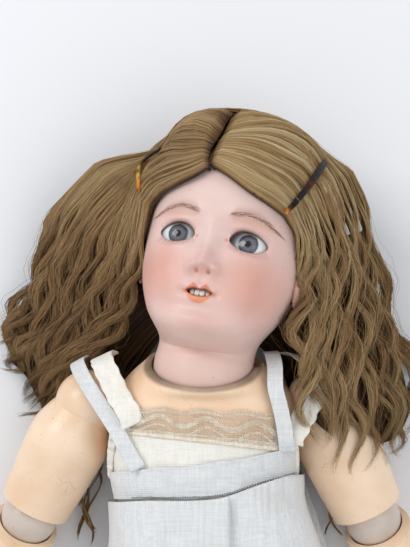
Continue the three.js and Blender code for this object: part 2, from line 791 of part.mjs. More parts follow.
// Room for a thigh from straight to sitting: behind it the buttock stays, in front it is open
function thighRoom(side, ease) {
  const r = THIGH_RADIUS + ease;
  const shape = new THREE.Shape();
  shape.moveTo(-r - 8, -70);
  shape.lineTo(-r - 1, -14);
  shape.lineTo(-HIP_BALL - 2, -3);
  shape.lineTo(0, 0);
  shape.lineTo(HIP_BALL * 0.4, r * 0.74);
  shape.lineTo(r * 0.7, r * 0.84);
  shape.lineTo(90, r * 0.72);
  shape.lineTo(90, -70);
  const room = new THREE.ExtrudeGeometry(shape, { depth: 2 * r, bevelEnabled: false });
  room.translate(0, 0, -r).rotateY(-Math.PI / 2);
  return solidOf(room.translate(side * HIP_X, HIP_Y, HIP_Z));
}

function makeTorso() {
  const outside = torsoShell(0);
  let hollow = torsoShell(-TORSO_WALL, 12, torsoLevels.slice(1, -1));
  const cups = [[NECK_BALL_RADIUS + RUNNING + 0.7, 0, NECK_Y, NECK_Z, 18, 12]];
  for (const side of [-1, 1]) {
    cups.push([SHOULDER_BALL + RUNNING + 0.8, side * SHOULDER_X, SHOULDER_Y, SHOULDER_Z, 12, 8]);
    cups.push([HIP_BALL + RUNNING + 0.8, side * HIP_X, HIP_Y, HIP_Z, 12, 8]);
  }
  for (const [r, x, y, z] of cups) {
    hollow = hollow.subtract(ball(r + TORSO_WALL, x, y, z, 8, 6));
  }
  let made = outside.subtract(hollow);
  for (const [r, x, y, z, across, up] of cups) made = made.subtract(ball(r, x, y, z, across, up));
  const neckHole = new THREE.CylinderGeometry(17, 17, 40, 12).translate(0, -34, 0);
  made = made.subtract(solidOf(neckHole.translate(0, NECK_Y, NECK_Z)));
  const armHole = new THREE.CylinderGeometry(9, 9, 2 * SHOULDER_X, 8).rotateZ(Math.PI / 2);
  made = made.subtract(solidOf(armHole.translate(0, SHOULDER_Y - 3, SHOULDER_Z - 1)));
  for (const side of [-1, 1]) {
    const legHole = new THREE.CylinderGeometry(8, 8, 40, 8).translate(0, 26, 0);
    legHole.rotateZ(side * LEG_CORD_LEAN * RAD).translate(side * HIP_X, HIP_Y, HIP_Z);
    made = made.subtract(solidOf(legHole)).subtract(thighRoom(side, 1));
  }
  return mainBody(made.subtract(napeRoom()).subtract(slab(2, -200, 0)));
}
piece(parts, "torso", makeTorso(), composition);

// Limbs: lofts along -Y from the joint that carries them, each with its cups and cord bore

function limb(stations, sides = 10, grow = 0) {
  return solidOf(
    skin(
      stations.map(([along, halfX, halfZ = halfX, shiftZ = 0, shiftX = 0]) =>
        evenAngles(sides).map((a) =>
          V(
            shiftX + (halfX + grow) * Math.cos(a),
            -along,
            shiftZ + (halfZ + grow) * Math.sin(a),
          ),
        ),
      ),
    ),
  );
}

const bore = (radius, from, to) =>
  solidOf(new THREE.CylinderGeometry(radius, radius, to - from, 6).translate(0, -(from + to) / 2, 0));

// All that lies above a plane through a point down the limb, tilted towards the front
function aboveRim(down, tilt) {
  const cut = new THREE.BoxGeometry(120, 120, 120).translate(0, 60, 0);
  cut.rotateX(tilt * RAD).translate(0, -down, 0);
  return solidOf(cut);
}

const ELBOW_RIM = 9;
const FOREARM_RIM = 7;
const RIM_TILT = 30;
const KNEE_RIM = 12;
const SHANK_RIM = 8;

function makeUpperArm(side, grow = 0) {
  const r = UPPER_ARM_RADIUS;
  const end = UPPER_ARM_LENGTH - ELBOW_RIM;
  let made = limb(
    [
      [5, r * 0.72, r * 0.74],
      [13, r * 0.84, r * 0.88, 0, side * 0.6],
      [26, r],
      [44, r * 0.97],
      [62, r * 0.92],
      [end, r * 0.88],
    ],
    14,
    grow,
  ).add(ball(SHOULDER_BALL + grow, 0, 0, 0, 12, 8));
  if (grow > 0) return made;
  made = made.subtract(ball(ELBOW_BALL + RUNNING + 0.2, 0, -UPPER_ARM_LENGTH, 0, 12, 8));
  made = made.subtract(bore(CORD_BORE, 0, UPPER_ARM_LENGTH));
  const spread = side > 0 ? LEFT_ARM_SPREAD : RIGHT_ARM_SPREAD;
  const channel = new THREE.CylinderGeometry(6.4, 6.4, 40, 8).rotateZ(Math.PI / 2);
  channel.translate(-side * 13.4, 0, 0).rotateZ(-side * spread * RAD);
  return made.subtract(solidOf(channel));
}

function makeForearm() {
  const r = FOREARM_RADIUS;
  const end = FOREARM_LENGTH - 2;
  let made = limb([
    [-8, r * 1.04],
    [8, r * 1.05],
    [22, r],
    [44, r * 0.86],
    [60, r * 0.7],
    [end, WRIST_RADIUS],
  ]);
  made = made.subtract(aboveRim(FOREARM_RIM, RIM_TILT));
  made = made.subtract(ball(ELBOW_BALL + RUNNING + 0.4, 0, 0, 0, 12, 8));
  made = made.subtract(ball(WRIST_BALL + RUNNING + 0.3, 0, -FOREARM_LENGTH, 0, 12, 8));
  return mainBody(made.subtract(bore(CORD_BORE, 0, FOREARM_LENGTH)));
}

// Hand: a rounded palm with four curved fingers and a thumb
function makeHand(side) {
  const palm = limb(
    [
      [5, 8.6, 7.4],
      [13, 11.5, 7.2],
      [22, 14.5, 7.6, 0.5],
      [32, 15, 7, 0.8],
      [37, 13.6, 5.4, 0.8],
    ],
    8,
  );
  let made = palm.add(ball(WRIST_BALL, 0, 0, 0, 10, 7));
  const fingers = [-10.4, -3.6, 3.4, 10];
  fingers.forEach((x, k) => {
    const length = [17, 21, 22, 19][k];
    const finger = limb(
      [
        [32, 3.3, 3.2, 0.8],
        [37 + length * 0.5, 3.3, 3.2, -0.6],
        [36.5 + length, 2.4, 2.2, -4.2],
      ].map((row) => [...row, x]),
      5,
    );
    made = made.add(finger);
  });
  const thumb = new THREE.Matrix4().makeRotationZ(-side * 38 * RAD).setPosition(-side * 9.5, -13, -1);
  const tip = limb([[-3, 4], [9, 4.2], [20, 2.5]], 6);
  made = made.add(tip.transform(thumb.elements));
  return made;
}

const armGroups = {};
for (const side of [-1, 1]) {
  const owner = side > 0 ? "left" : "right";
  const spread = side > 0 ? LEFT_ARM_SPREAD : RIGHT_ARM_SPREAD;
  const shoulder = new THREE.Group();
  shoulder.position.set(side * SHOULDER_X, SHOULDER_Y, SHOULDER_Z);
  shoulder.rotation.set(ARM_SLOPE * RAD, 0, side * spread * RAD, "ZXY");
  parts.add(shoulder);
  armGroups[side] = shoulder;
  piece(
    shoulder,
    `${owner}_shoulder_hook`,
    new THREE.TorusGeometry(4, HOOK_WIRE, 5, 8).rotateX(Math.PI / 2),
    iron,
  );
  piece(shoulder, `${owner}_upper_arm`, makeUpperArm(side), composition);
  const armCordFoot = UPPER_ARM_LENGTH - ELBOW_BALL - GAP;
  const armCordRun = bore(ELASTIC_RADIUS, HOOK_WIRE + GAP, armCordFoot);
  const armCordKnot = bore(CORD_BORE - GAP, armCordFoot - 7, armCordFoot - 3);
  piece(shoulder, `${owner}_upper_arm_elastic`, armCordRun.add(armCordKnot), elastic);
  const elbow = new THREE.Group();
  elbow.position.set(0, -UPPER_ARM_LENGTH, 0);
  shoulder.add(elbow);
  piece(
    elbow,
    `${owner}_elbow_ball`,
    ball(ELBOW_BALL, 0, 0, 0, 12, 8).subtract(bore(CORD_BORE, -ELBOW_BALL, ELBOW_BALL)),
    composition,
  );
  const forearm = new THREE.Group();
  forearm.rotation.set(-ELBOW_REST * RAD, 0, 0);
  elbow.add(forearm);
  piece(forearm, `${owner}_forearm`, makeForearm(), composition);
  piece(
    forearm,
    `${owner}_forearm_elastic`,
    bore(ELASTIC_RADIUS, ELBOW_BALL + GAP, FOREARM_LENGTH - WRIST_BALL - GAP),
    elastic,
  );
  const wrist = new THREE.Group();
  wrist.position.set(0, -FOREARM_LENGTH, 0);
  wrist.rotation.set(-WRIST_REST * RAD, 0, 0);
  forearm.add(wrist);
  const hand = new THREE.Group();
  hand.rotation.y = side * PALM_TURN * RAD;
  wrist.add(hand);
  piece(hand, `${owner}_hand`, makeHand(side), composition);
}

function makeThigh() {
  const r = THIGH_RADIUS;
  const end = THIGH_LENGTH - KNEE_RIM;
  let made = limb(
    [
      [4, r * 0.72],
      [14, r * 0.9],
      [32, r],
      [62, r * 0.95],
      [94, r * 0.86],
      [end, r * 0.79],
    ],
    12,
  ).add(ball(HIP_BALL, 0, 0, 0, 12, 8));
  made = made.subtract(ball(KNEE_BALL + RUNNING + 0.9, 0, -THIGH_LENGTH, 0, 10, 7));
  made = made.subtract(bore(CORD_BORE, 0, THIGH_LENGTH));
  return made.subtract(bore(7, -HIP_BALL - 4, 7));
}

// Lower leg with its foot: the foot is lofted from heel to toes on a flat sole
function makeLowerLeg() {
  const r = CALF_RADIUS;
  let made = limb(
    [
      [-9, r * 0.95],
      [10, r * 0.96],
      [30, r * 0.98],
      [50, r * 0.95, r * 0.95, -1.2],
      [78, r * 0.78, r * 0.8, -1],
      [104, r * 0.58, r * 0.62],
      [SHANK_LENGTH + 2, r * 0.52, r * 0.6],
    ],
    10,
  );
  made = made.subtract(aboveRim(SHANK_RIM, -RIM_TILT));
  made = made.subtract(ball(KNEE_BALL + RUNNING + 0.9, 0, 0, 0, 10, 7));
  const sole = -(SHANK_LENGTH + 22);
  const reachOf = FOOT_LENGTH / 62;
  const foot = solidOf(
    skin(
      [
        [-17.5, 6, 8],
        [-14, 10.5, 14],
        [-4, 13, 17],
        [12, 14, 14],
        [27, 15.5, 10],
        [37, 15, 8],
        [43, 9, 6],
      ].map(([z, half, height]) =>
        evenAngles(10).map((a) =>
          V(
            half * Math.cos(a),
            Math.max(sole, sole + height * 0.92 + height * Math.sin(a)),
            z * reachOf,
          ),
        ),
      ),
    ),
  );
  return mainBody(made.add(foot));
}

for (const side of [-1, 1]) {
  const owner = side > 0 ? "left" : "right";
  const hip = new THREE.Group();
  hip.position.set(side * HIP_X, HIP_Y, HIP_Z);
  hip.rotation.set(LEG_SLOPE * RAD, 0, side * LEG_SPREAD * RAD, "ZXY");
  parts.add(hip);
  piece(hip, `${owner}_hip_hook`, new THREE.TorusGeometry(4.4, HOOK_WIRE, 5, 8), iron);
  piece(hip, `${owner}_thigh`, makeThigh(), composition);
  const cordTop = 4.4 + HOOK_WIRE + GAP;
  piece(
    hip,
    `${owner}_thigh_elastic`,
    bore(ELASTIC_RADIUS, cordTop, THIGH_LENGTH - KNEE_BALL - GAP),
    elastic,
  );
  const knee = new THREE.Group();
  knee.position.set(0, -THIGH_LENGTH, 0);
  hip.add(knee);
  piece(knee, `${owner}_knee_ball`, ball(KNEE_BALL, 0, 0, 0, 12, 8), composition);
  const shank = new THREE.Group();
  shank.rotation.set(-KNEE_REST * RAD, side * FOOT_TURN * RAD, 0, "XYZ");
  knee.add(shank);
  piece(shank, `${owner}_lower_leg`, makeLowerLeg(), composition);
}

// Elastic cords strung through the hollow body

const armCordEnd = SHOULDER_X - 4 - HOOK_WIRE;
const armCord = [
  V(-armCordEnd, SHOULDER_Y, SHOULDER_Z),
  V(-54, SHOULDER_Y - 1, SHOULDER_Z),
  V(-36, SHOULDER_Y - 13, SHOULDER_Z - 4),
  V(0, NECK_Y - 39, SHOULDER_Z - 7),
  V(36, SHOULDER_Y - 13, SHOULDER_Z - 4),
  V(54, SHOULDER_Y - 1, SHOULDER_Z),
  V(armCordEnd, SHOULDER_Y, SHOULDER_Z),
];
piece(parts, "arm_elastic", wire(armCord, ELASTIC_RADIUS, 6, 12), elastic);
const hookTip = V(0, -54, -2).applyEuler(head.rotation).add(neck.position);
const hipTop = (side) => V(side * HIP_X, HIP_Y + 4.4 + HOOK_WIRE + 2 * GAP, HIP_Z + 0.5);
const legCord = [
  hipTop(-1),
  V(-HIP_X + 9, HIP_Y + 42, HIP_Z),
  V(hookTip.x - 6, hookTip.y - 26, SHOULDER_Z - 3),
  hookTip,
  V(hookTip.x + 6, hookTip.y - 26, SHOULDER_Z - 3),
  V(HIP_X - 9, HIP_Y + 42, HIP_Z),
  hipTop(1),
];
piece(parts, "leg_elastic", wire(legCord, ELASTIC_RADIUS, 6, 14), elastic);

// Locks of the wig: flattened tapering strands that hang from under the combed top, over
// and under the arms, and lie on the ground. Each is carved where it lies on another piece.

function lockForm(route, halfWidths, halfDepths, phase, grow = 0) {
  const curve = new THREE.CatmullRomCurve3(route.map((p) => V(...p)));
  const rings = [];
  const steps = Math.ceil(1.6 * (route.length - 1));
  for (let i = 0; i <= steps; i++) {
    const u = i / steps;
    const middle = curve.getPoint(u);
    const run = curve.getTangent(u);
    const across = V(run.y, -run.x, 0).normalize();
    const up = across.clone().cross(run).normalize();
    if (up.z < 0) up.negate();
    const index = u * (halfWidths.length - 1);
    const half = along(halfWidths, index) + grow;
    const deep = along(halfDepths, index) + grow;
    middle.addScaledVector(across, 2.4 * Math.sin(phase + 13 * u) * Math.min(1, 2 * u));
    const ring = evenAngles(8).map((w) => {
      const ridge = 1 + 0.1 * Math.cos(4 * w + phase + 3 * u);
      const p = middle
        .clone()
        .addScaledVector(across, half * ridge * Math.cos(w))
        .addScaledVector(up, deep * ridge * Math.sin(w));
      p.z = Math.max(p.z, 0.5 - grow);
      return p;
    });
    rings.push(ring);
  }
  return solidOf(skin(rings));
}

const placed = (solid, group) => {
  group.updateWorldMatrix(true, false);
  return solid.transform(group.matrixWorld.elements);
};
const nape = headShell((t, a) => headOffset(t, a, 3), smoothLevels.slice(0, 14), evenAngles(16));
const combed = hairClear.subtract(belowEars(-24 - GAP));
let taken = placed(nape.add(combed).add(earClear(1)).add(earClear(-1)), head);
taken = taken.add(torsoShell(PINAFORE_EASE + 2 * CLOTH + GAP, 14));
for (const side of [-1, 1]) taken = taken.add(placed(makeUpperArm(side, 0.8), armGroups[side]));

const locks = {
  hair_lock_left_1: [
    [[60, 258, 84], [82, 246, 70], [103, 222, 50], [116, 190, 30], [122, 150, 17], [127, 92, 8]],
    [12, 18, 20, 19, 15, 4],
    [9, 11, 12, 11, 9, 3],
    0.3,
  ],
  hair_lock_left_2: [
    [[62, 232, 84], [76, 212, 78], [88, 186, 68], [96, 156, 60], [103, 122, 57], [112, 76, 52]],
    [12, 15, 17, 16, 13, 3],
    [8, 10, 11, 10, 8, 3],
    1.4,
  ],
  hair_lock_left_3: [
    [[56, 212, 82], [62, 190, 80], [68, 168, 80], [76, 144, 82], [84, 118, 80], [90, 96, 73]],
    [10, 13, 14, 12, 9, 3],
    [7, 9, 9, 8, 6, 2.5],
    2.6,
  ],
  hair_lock_left_4: [
    [[50, 206, 54], [51, 182, 36], [57, 158, 20], [67, 134, 15], [76, 106, 10], [81, 78, 8], [82, 60, 7], [81, 46, 7]],
    [10, 16, 17, 14, 10, 7, 5, 3],
    [8, 10, 10, 8, 7, 6, 4, 3],
    0.9,
  ],
  hair_lock_right_1: [
    [[-48, 262, 78], [-68, 246, 64], [-90, 222, 44], [-108, 193, 25], [-117, 166, 14], [-122, 142, 8]],
    [12, 17, 19, 18, 14, 4],
    [9, 11, 12, 11, 9, 3],
    2.1,
  ],
  hair_lock_right_2: [
    [[-52, 236, 72], [-66, 212, 56], [-81, 184, 37], [-95, 156, 21], [-105, 130, 12], [-112, 102, 7]],
    [12, 16, 18, 16, 12, 3],
    [8, 10, 11, 10, 8, 3],
    0.6,
  ],
  hair_lock_right_3: [
    [[-46, 212, 60], [-48, 190, 43], [-53, 168, 27], [-64, 142, 15], [-70, 112, 9], [-68.5, 76, 7], [-68, 42, 6]],
    [10, 16, 18, 15, 9, 6, 4],
    [8, 10, 10, 9, 7, 5, 3],
    1.7,
  ],
};
for (const [name, [route, halfWidths, halfDepths, phase]] of Object.entries(locks)) {
  piece(parts, name, mainBody(lockForm(route, halfWidths, halfDepths, phase).subtract(taken)), hair);
  taken = taken.add(lockForm(route, halfWidths, halfDepths, phase, GAP));
}

// Clothes: a cotton chemise with a lace yoke, and over it a linen pinafore

// The place on the body's offset form at angle a and height y
function bodyAt(a, y, out) {
  let [high, low] = [0, torsoRows.length - 1];
  for (let i = 0; i < 24; i++) {
    const t = (high + low) / 2;
    if (torsoOffset(t, a, out).y > y) high = t;
    else low = t;
  }
  return torsoOffset((high + low) / 2, a, out);
}

// The place on the body's front above x and y
function onBody(x, y, out) {
  let [near, far] = [0, Math.PI / 2];
  for (let i = 0; i < 20; i++) {
    const a = (near + far) / 2;
    if (bodyAt(Math.sign(x) * a, y, out).x * Math.sign(x) < Math.abs(x)) near = a;
    else far = a;
  }
  return bodyAt((Math.sign(x) * (near + far)) / 2, y, out);
}

// A sheet of cloth: rows of points on its outer face, thickened inwards
function sheet(rows, thickness) {
  const last = rows.length - 1;
  const rings = rows.map((row, i) => {
    const inner = row.map((p, j) => {
      const down = rows[Math.min(i + 1, last)][j].clone().sub(rows[Math.max(i - 1, 0)][j]);
      const run = row[Math.min(j + 1, row.length - 1)].clone().sub(row[Math.max(j - 1, 0)]);
      const normal = down.cross(run).normalize();
      return p.clone().addScaledVector(normal, -thickness);
    });
    return [...row, ...inner.reverse()];
  });
  return solidOf(skin(rings, true));
}

const chemiseTop = 118;
function makeChemise() {
  const room = (side) =>
    placed(makeUpperArm(side, 4).add(ball(SHOULDER_BALL + 6, 0, 0, 0, 12, 8)), armGroups[side]);
  let made = torsoShell(CHEMISE_EASE + CLOTH).subtract(torsoShell(0.7));
  made = made.subtract(slab(1, chemiseTop, 400)).subtract(slab(1, -400, HIP_Y + 7));
  made = made.subtract(room(1)).subtract(room(-1));
  made = made.subtract(thighRoom(1, 2)).subtract(thighRoom(-1, 2));
  return mainBody(made.subtract(slab(2, -200, 0)));
}
piece(parts, "chemise", makeChemise(), cotton);

// Edges of the pinafore's band, in height over the body against x
const bandTop = (x) => along([83, 85.5, 87.5, 90.5, 95.5, 100.5], (x + 60) / 24);
const bandFoot = (x) => along([67, 68.3, 68.3, 70, 77.5, 83.5], (x + 55) / 22);
const steps = (count, from, to) =>
  Array.from({ length: count + 1 }, (_, i) => from + ((to - from) * i) / count);

function frontBand(columns, rows, fromAngle, toAngle, top, foot, out) {
  return steps(rows, 0, 1).map((v) =>
    steps(columns, fromAngle, toAngle).map((a) => {
      const x = bodyAt(a, 85, out).x;
      return bodyAt(a, top(x) + (foot(x) - top(x)) * v, out);
    }),
  );
}
const laceTop = (x) => 119.6 - 0.05 * x + 0.9 * Math.cos(x / 3.4);
const laceFoot = (x) => Math.max(102 - 0.13 * x, bandTop(x) + 1.2);
const yoke = frontBand(14, 1, -0.82, 0.86, laceTop, laceFoot, CHEMISE_EASE + CLOTH + GAP + 1.1);
piece(parts, "chemise_lace", sheet(yoke, 0.8), cotton);

const bandOut = PINAFORE_EASE + CLOTH;
const band = frontBand(16, 1, -1.42, 1.4, bandTop, bandFoot, bandOut);
piece(parts, "pinafore_band", sheet(band, CLOTH), linen);

// A strap: a flat ribbon along points, its width along one level direction
function ribbon(points, half, thickness, turn) {
  const curve = new THREE.CatmullRomCurve3(points);
  const across = V(Math.cos(turn * RAD), Math.sin(turn * RAD), 0);
  const rows = steps(points.length + 3, 0, 1).map((u) => {
    const middle = curve.getPoint(u);
    return [-half, half].map((w) => middle.clone().addScaledVector(across, w));
  });
  return sheet(rows, thickness);
}

const strapOut = bandOut + 2.2;
const straps = {
  right_pinafore_strap: [
    [
      onBody(-39.5, 87.6, bandOut + 1), onBody(-46, 98, strapOut), onBody(-52.5, 110, strapOut + 0.8),
      V(-63, 126, 75), V(-71.5, 139, 71), V(-77, 149, 58), V(-77.5, 153, 46), V(-75, 154, 35),
    ],
    STRAP_WIDTH / 2, CLOTH, 29,
  ],
  left_pinafore_strap: [
    [
      onBody(50, 102, bandOut + 3), onBody(48.5, 112, strapOut), onBody(46, 124, strapOut),
      onBody(43.5, 134, strapOut + 1), V(43.5, 147, 77), V(42.5, 155, 65), V(41.5, 158, 51),
    ],
    STRAP_WIDTH / 2, CLOTH, 4,
  ],
  right_chemise_strap: [
    [
      onBody(-45, 120.5, 5.8), onBody(-50, 128, 6.6), V(-56, 140, 76), V(-60.5, 149, 71),
      V(-62.5, 154, 60), V(-62, 156, 48), V(-59, 155, 38),
    ],
    SHOULDER_BAND / 2, CLOTH, 25,
  ],
  left_chemise_strap: [
    [
      onBody(56, 108, 8.8), V(61.5, 118, 72), V(67.5, 131, 73), V(68, 143, 70), V(63, 152, 63),
      V(58, 156, 52), V(54, 156, 42),
    ],
    SHOULDER_BAND / 2, CLOTH, -12,
  ],
};
for (const [name, [points, half, thickness, turn]] of Object.entries(straps)) {
  piece(parts, name, ribbon(points, half, thickness, turn), name.includes("chemise") ? cotton : linen);
}

// Skirt: two panels that lap at the front seam and fall over the thighs in soft folds
const SEAM_X = 12.8;
const HEM_Y = -150;
const skirtHeight = [95, 94.5, 92, 89, 85, 79, 72, 65];
const skirtRight = [60, 59.5, 67, 73, 77, 80, 84, 88];
const skirtLeft = [64, 74, 84, 89, 94, 99, 104, 108];
function skirtPoint(x, y, lapped) {
  const down = clamp((70 - y) / ((70 - HEM_Y) / 7), 0, 7);
  const half = along(x < 0 ? skirtRight : skirtLeft, down);
  const share = clamp(Math.abs(x) / half, 0, 1);
  const arch = (1 - share ** 3.2) ** (1 / 3.2);
  const fold = (0.4 + 0.32 * down) * Math.sin(x / 6 + 0.5 * Math.sin(down)) * (1 - share ** 6);
  const lap = lapped ? 3.4 * (1 - ramp(x, SEAM_X + 4, SEAM_X + 16)) : 0;
  return V(x, y, 6 + (along(skirtHeight, down) - 6) * arch + fold - lap);
}
function skirtPanel(side) {
  const rows = steps(6, 0, 1).map((v) =>
    steps(12, 0, 1).map((w) => {
      const u = Math.sin((w * Math.PI) / 2) ** 0.9;
      const guess = bandFoot(0) - 1.2 + (HEM_Y - bandFoot(0)) * v;
      const down = clamp((70 - guess) / ((70 - HEM_Y) / 7), 0, 7);
      const edge = side < 0 ? -along(skirtRight, down) : along(skirtLeft, down);
      const from = side < 0 ? SEAM_X + 3 : SEAM_X - 3;
      const x = from + (edge - from) * u;
      const top = bandFoot(clamp(x, -55, 55)) - 1.2;
      return skirtPoint(x, top + (HEM_Y - top) * v, side > 0);
    }),
  );
  if (side < 0) rows.forEach((row) => row.reverse());
  return sheet(rows, CLOTH);
}
piece(parts, "pinafore_skirt_right", skirtPanel(-1), linen);
piece(parts, "pinafore_skirt_left", skirtPanel(1), linen);

export default parts;
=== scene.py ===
import math

import bmesh
import bpy
import numpy as np
from mathutils import Matrix, Vector
from mathutils.bvhtree import BVHTree


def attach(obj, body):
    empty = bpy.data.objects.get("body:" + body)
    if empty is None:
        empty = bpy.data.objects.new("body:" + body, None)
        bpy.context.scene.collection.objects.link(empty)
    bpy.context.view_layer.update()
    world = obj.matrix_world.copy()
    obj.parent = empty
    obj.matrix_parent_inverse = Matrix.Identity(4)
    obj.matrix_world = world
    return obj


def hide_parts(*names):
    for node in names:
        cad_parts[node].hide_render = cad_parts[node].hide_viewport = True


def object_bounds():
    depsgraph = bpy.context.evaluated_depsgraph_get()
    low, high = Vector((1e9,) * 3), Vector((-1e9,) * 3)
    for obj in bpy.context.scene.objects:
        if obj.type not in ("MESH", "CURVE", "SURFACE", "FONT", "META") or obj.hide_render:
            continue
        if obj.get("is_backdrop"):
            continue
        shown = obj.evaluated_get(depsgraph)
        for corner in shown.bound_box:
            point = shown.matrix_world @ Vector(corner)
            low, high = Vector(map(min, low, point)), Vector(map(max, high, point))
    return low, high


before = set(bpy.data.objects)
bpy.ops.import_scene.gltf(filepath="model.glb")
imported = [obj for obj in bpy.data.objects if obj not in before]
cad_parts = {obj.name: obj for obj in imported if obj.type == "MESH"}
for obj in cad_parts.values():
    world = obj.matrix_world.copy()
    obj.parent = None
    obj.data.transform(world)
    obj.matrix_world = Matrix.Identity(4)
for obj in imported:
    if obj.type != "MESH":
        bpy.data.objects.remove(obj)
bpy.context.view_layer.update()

# Camera, floor and light: the doll is seen from above, a little from its feet, on pale
# ground under one wide soft window from the upper left, a wider weak fill from the right
# and an even white room.
mm = 0.001
aim = Vector((1.2, 204.5, 75)) * mm
tilt = math.radians(84)
away = 1.1
PIXELS_WIDE, PIXELS_HIGH, SENSOR = 410, 547, 36
camera = bpy.data.objects.new("camera", bpy.data.cameras.new("camera"))
bpy.context.scene.collection.objects.link(camera)
camera.data.lens = 118.7
camera.location = aim + away * Vector((0, -math.cos(tilt), math.sin(tilt)))
camera.rotation_euler = (math.pi / 2 - tilt, 0, 0)
bpy.context.scene.camera = camera


def under_pixel(px, py, height):
    """The place at a height in mm that shows at a pixel of the 410 by 547 picture, in mm."""
    sight = Vector(
        (
            (px - PIXELS_WIDE / 2) * SENSOR / PIXELS_HIGH,
            (PIXELS_HIGH / 2 - py) * SENSOR / PIXELS_HIGH,
            -camera.data.lens,
        )
    )
    sight.rotate(camera.rotation_euler)
    start = camera.location / mm
    return np.array(start + sight * ((height - start.z) / sight.z))


def linear(code):
    """An sRGB hex value as a linear colour with alpha."""
    parts = [int(code[i : i + 2], 16) / 255 for i in (1, 3, 5)]
    return [p / 12.92 if p <= 0.04045 else ((p + 0.055) / 1.055) ** 2.4 for p in parts] + [1.0]


def add(tree, kind, inputs=None, **settings):
    """Adds a node: settings are its own, and each input is given a value or linked."""
    made = tree.nodes.new(kind)
    for name, value in settings.items():
        setattr(made, name, value)
    for name, value in (inputs or {}).items():
        if isinstance(value, bpy.types.NodeSocket):
            tree.links.new(value, made.inputs[name])
        else:
            made.inputs[name].default_value = value
    return made


def new_material(name, **shader):
    """A material and its tree and shader, with constants set on the shader's own sockets."""
    made = bpy.data.materials.new(name)
    made.use_nodes = True
    tree = made.node_tree
    bsdf = tree.nodes["Principled BSDF"]
    for socket, value in shader.items():
        bsdf.inputs[socket.replace("_", " ")].default_value = value
    return made, tree, bsdf


def ramp(tree, factor, *stops):
    """A colour ramp through (place, hex) stops."""
    made = add(tree, "ShaderNodeValToRGB", {"Fac": factor})
    while len(made.color_ramp.elements) < len(stops):
        made.color_ramp.elements.new(0.5)
    for element, (place, code) in zip(made.color_ramp.elements, stops):
        element.position = place
        element.color = linear(code)
    return made.outputs["Color"]


def grained(tree, bsdf, *stops, **noise):
    """A base colour through noise of the object's own place; gives the noise."""
    place = add(tree, "ShaderNodeTexCoord").outputs["Object"]
    grain = add(tree, "ShaderNodeTexNoise", {"Vector": place, **noise}).outputs["Fac"]
    tree.links.new(ramp(tree, grain, *stops), bsdf.inputs["Base Color"])
    return grain


def only(made):
    """Selects one object alone and makes it active."""
    bpy.ops.object.select_all(action="DESELECT")
    made.select_set(True)
    bpy.context.view_layer.objects.active = made


def points_of(made):
    """A mesh's points in its own units."""
    return np.array([v.co for v in made.data.vertices])


bpy.ops.object.select_all(action="DESELECT")
bpy.ops.mesh.primitive_plane_add(size=7, location=(0, 0, 0))
floor = bpy.context.object
floor.name = "floor"
# Painted board: even, matt, faintly cool white
painted_board, tree, bsdf = new_material("painted_board", Roughness=0.9)
bsdf.inputs["Base Color"].default_value = linear("#eeeff1")
floor.data.materials.append(painted_board)
floor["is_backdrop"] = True
world = bpy.data.worlds.new("room")
bpy.context.scene.world = world
bpy.context.scene.view_settings.view_transform = "Standard"
world.use_nodes = True
world.node_tree.nodes["Background"].inputs["Color"].default_value = linear("#f2f4f8")
world.node_tree.nodes["Background"].inputs["Strength"].default_value = 0.78
for name, place, size, power in (
    ("window", (-1.05, 0.95, 1.15), 0.8, 10.0),
    ("room_fill", (0.9, -0.1, 1.5), 1.4, 6.0),
):
    light = bpy.data.objects.new(name, bpy.data.lights.new(name, "AREA"))
    bpy.context.scene.collection.objects.link(light)
    light.data.size = size
    light.data.energy = power
    light.location = place
    light.rotation_euler = (aim - light.location).to_track_quat("-Z", "Y").to_euler()

# Bisque head: poured porcelain with a modelled face, neck and ears, cut for the eyes and
# the mouth. It is one thin shell that ends in the ball of the neck.
NECK = np.array([0, 146.7, 64])
NECK_IN_HEAD = np.array([0, -70.5, -7])
turned = (
    Matrix.Rotation(math.radians(-11.7), 3, "Z")
    @ Matrix.Rotation(math.radians(-6.5), 3, "X")
    @ Matrix.Rotation(math.radians(-11.5), 3, "Y")
)
HEAD_TURN = np.array(turned)
HEAD_PLACE = NECK - HEAD_TURN @ NECK_IN_HEAD


def from_head(points):
    """Points of the head's own frame, in mm, in the doll's frame."""
    return points @ HEAD_TURN.T + HEAD_PLACE


def ball_row(angle):
    r = 30.5 * math.cos(math.radians(angle))
    return [-70.5 + 30.5 * math.sin(math.radians(angle)), 0, r, -7, r, r, 2]


# Each row: height, slope, half width, widest place, depth ahead and behind, squareness
HEAD_ROWS = np.array(
    [ball_row(-52), ball_row(-34), ball_row(-16), ball_row(2), [-61.8, 0.09, 29.9, -7, 29.6, 29, 2]]
    + [
        [-54.8, 0.3, 30, -7, 32, 30, 2],
        [-49.8, 0.32, 31.4, -7, 41, 36, 2],
        [-44.8, 0.32, 34.6, -6, 47, 42, 2.02],
        [-40.2, 0.31, 37.9, -5, 51.4, 46, 2.04],
        [-36, 0.3, 40.4, -5, 53.2, 48.5, 2.08],
        [-31, 0.27, 42.8, -4, 51.4, 50.5, 2.14],
        [-24.5, 0.22, 45.2, -4, 52.8, 52, 2.2],
        [-15.5, 0.15, 47.4, -4, 53, 53.2, 2.25],
        [-5, 0.08, 48.7, -4, 52.6, 54, 2.28],
        [6, 0, 49.3, -4, 53, 54.5, 2.28],
        [17, -0.05, 49.5, -4, 54.2, 54.5, 2.22],
        [29, -0.1, 48.3, -4, 53, 53.5, 2.14],
        [41, -0.12, 44.2, -4, 48, 49.5, 2.06],
        [52, -0.1, 36.3, -4, 39, 42.5, 2],
        [60.5, -0.06, 25.6, -4, 27.5, 31, 2],
        [65.8, 0, 13.4, -4, 14.5, 16.5, 2],
    ]
)
HEAD_ROWS[5:, 5] *= 51.5 / 54.5


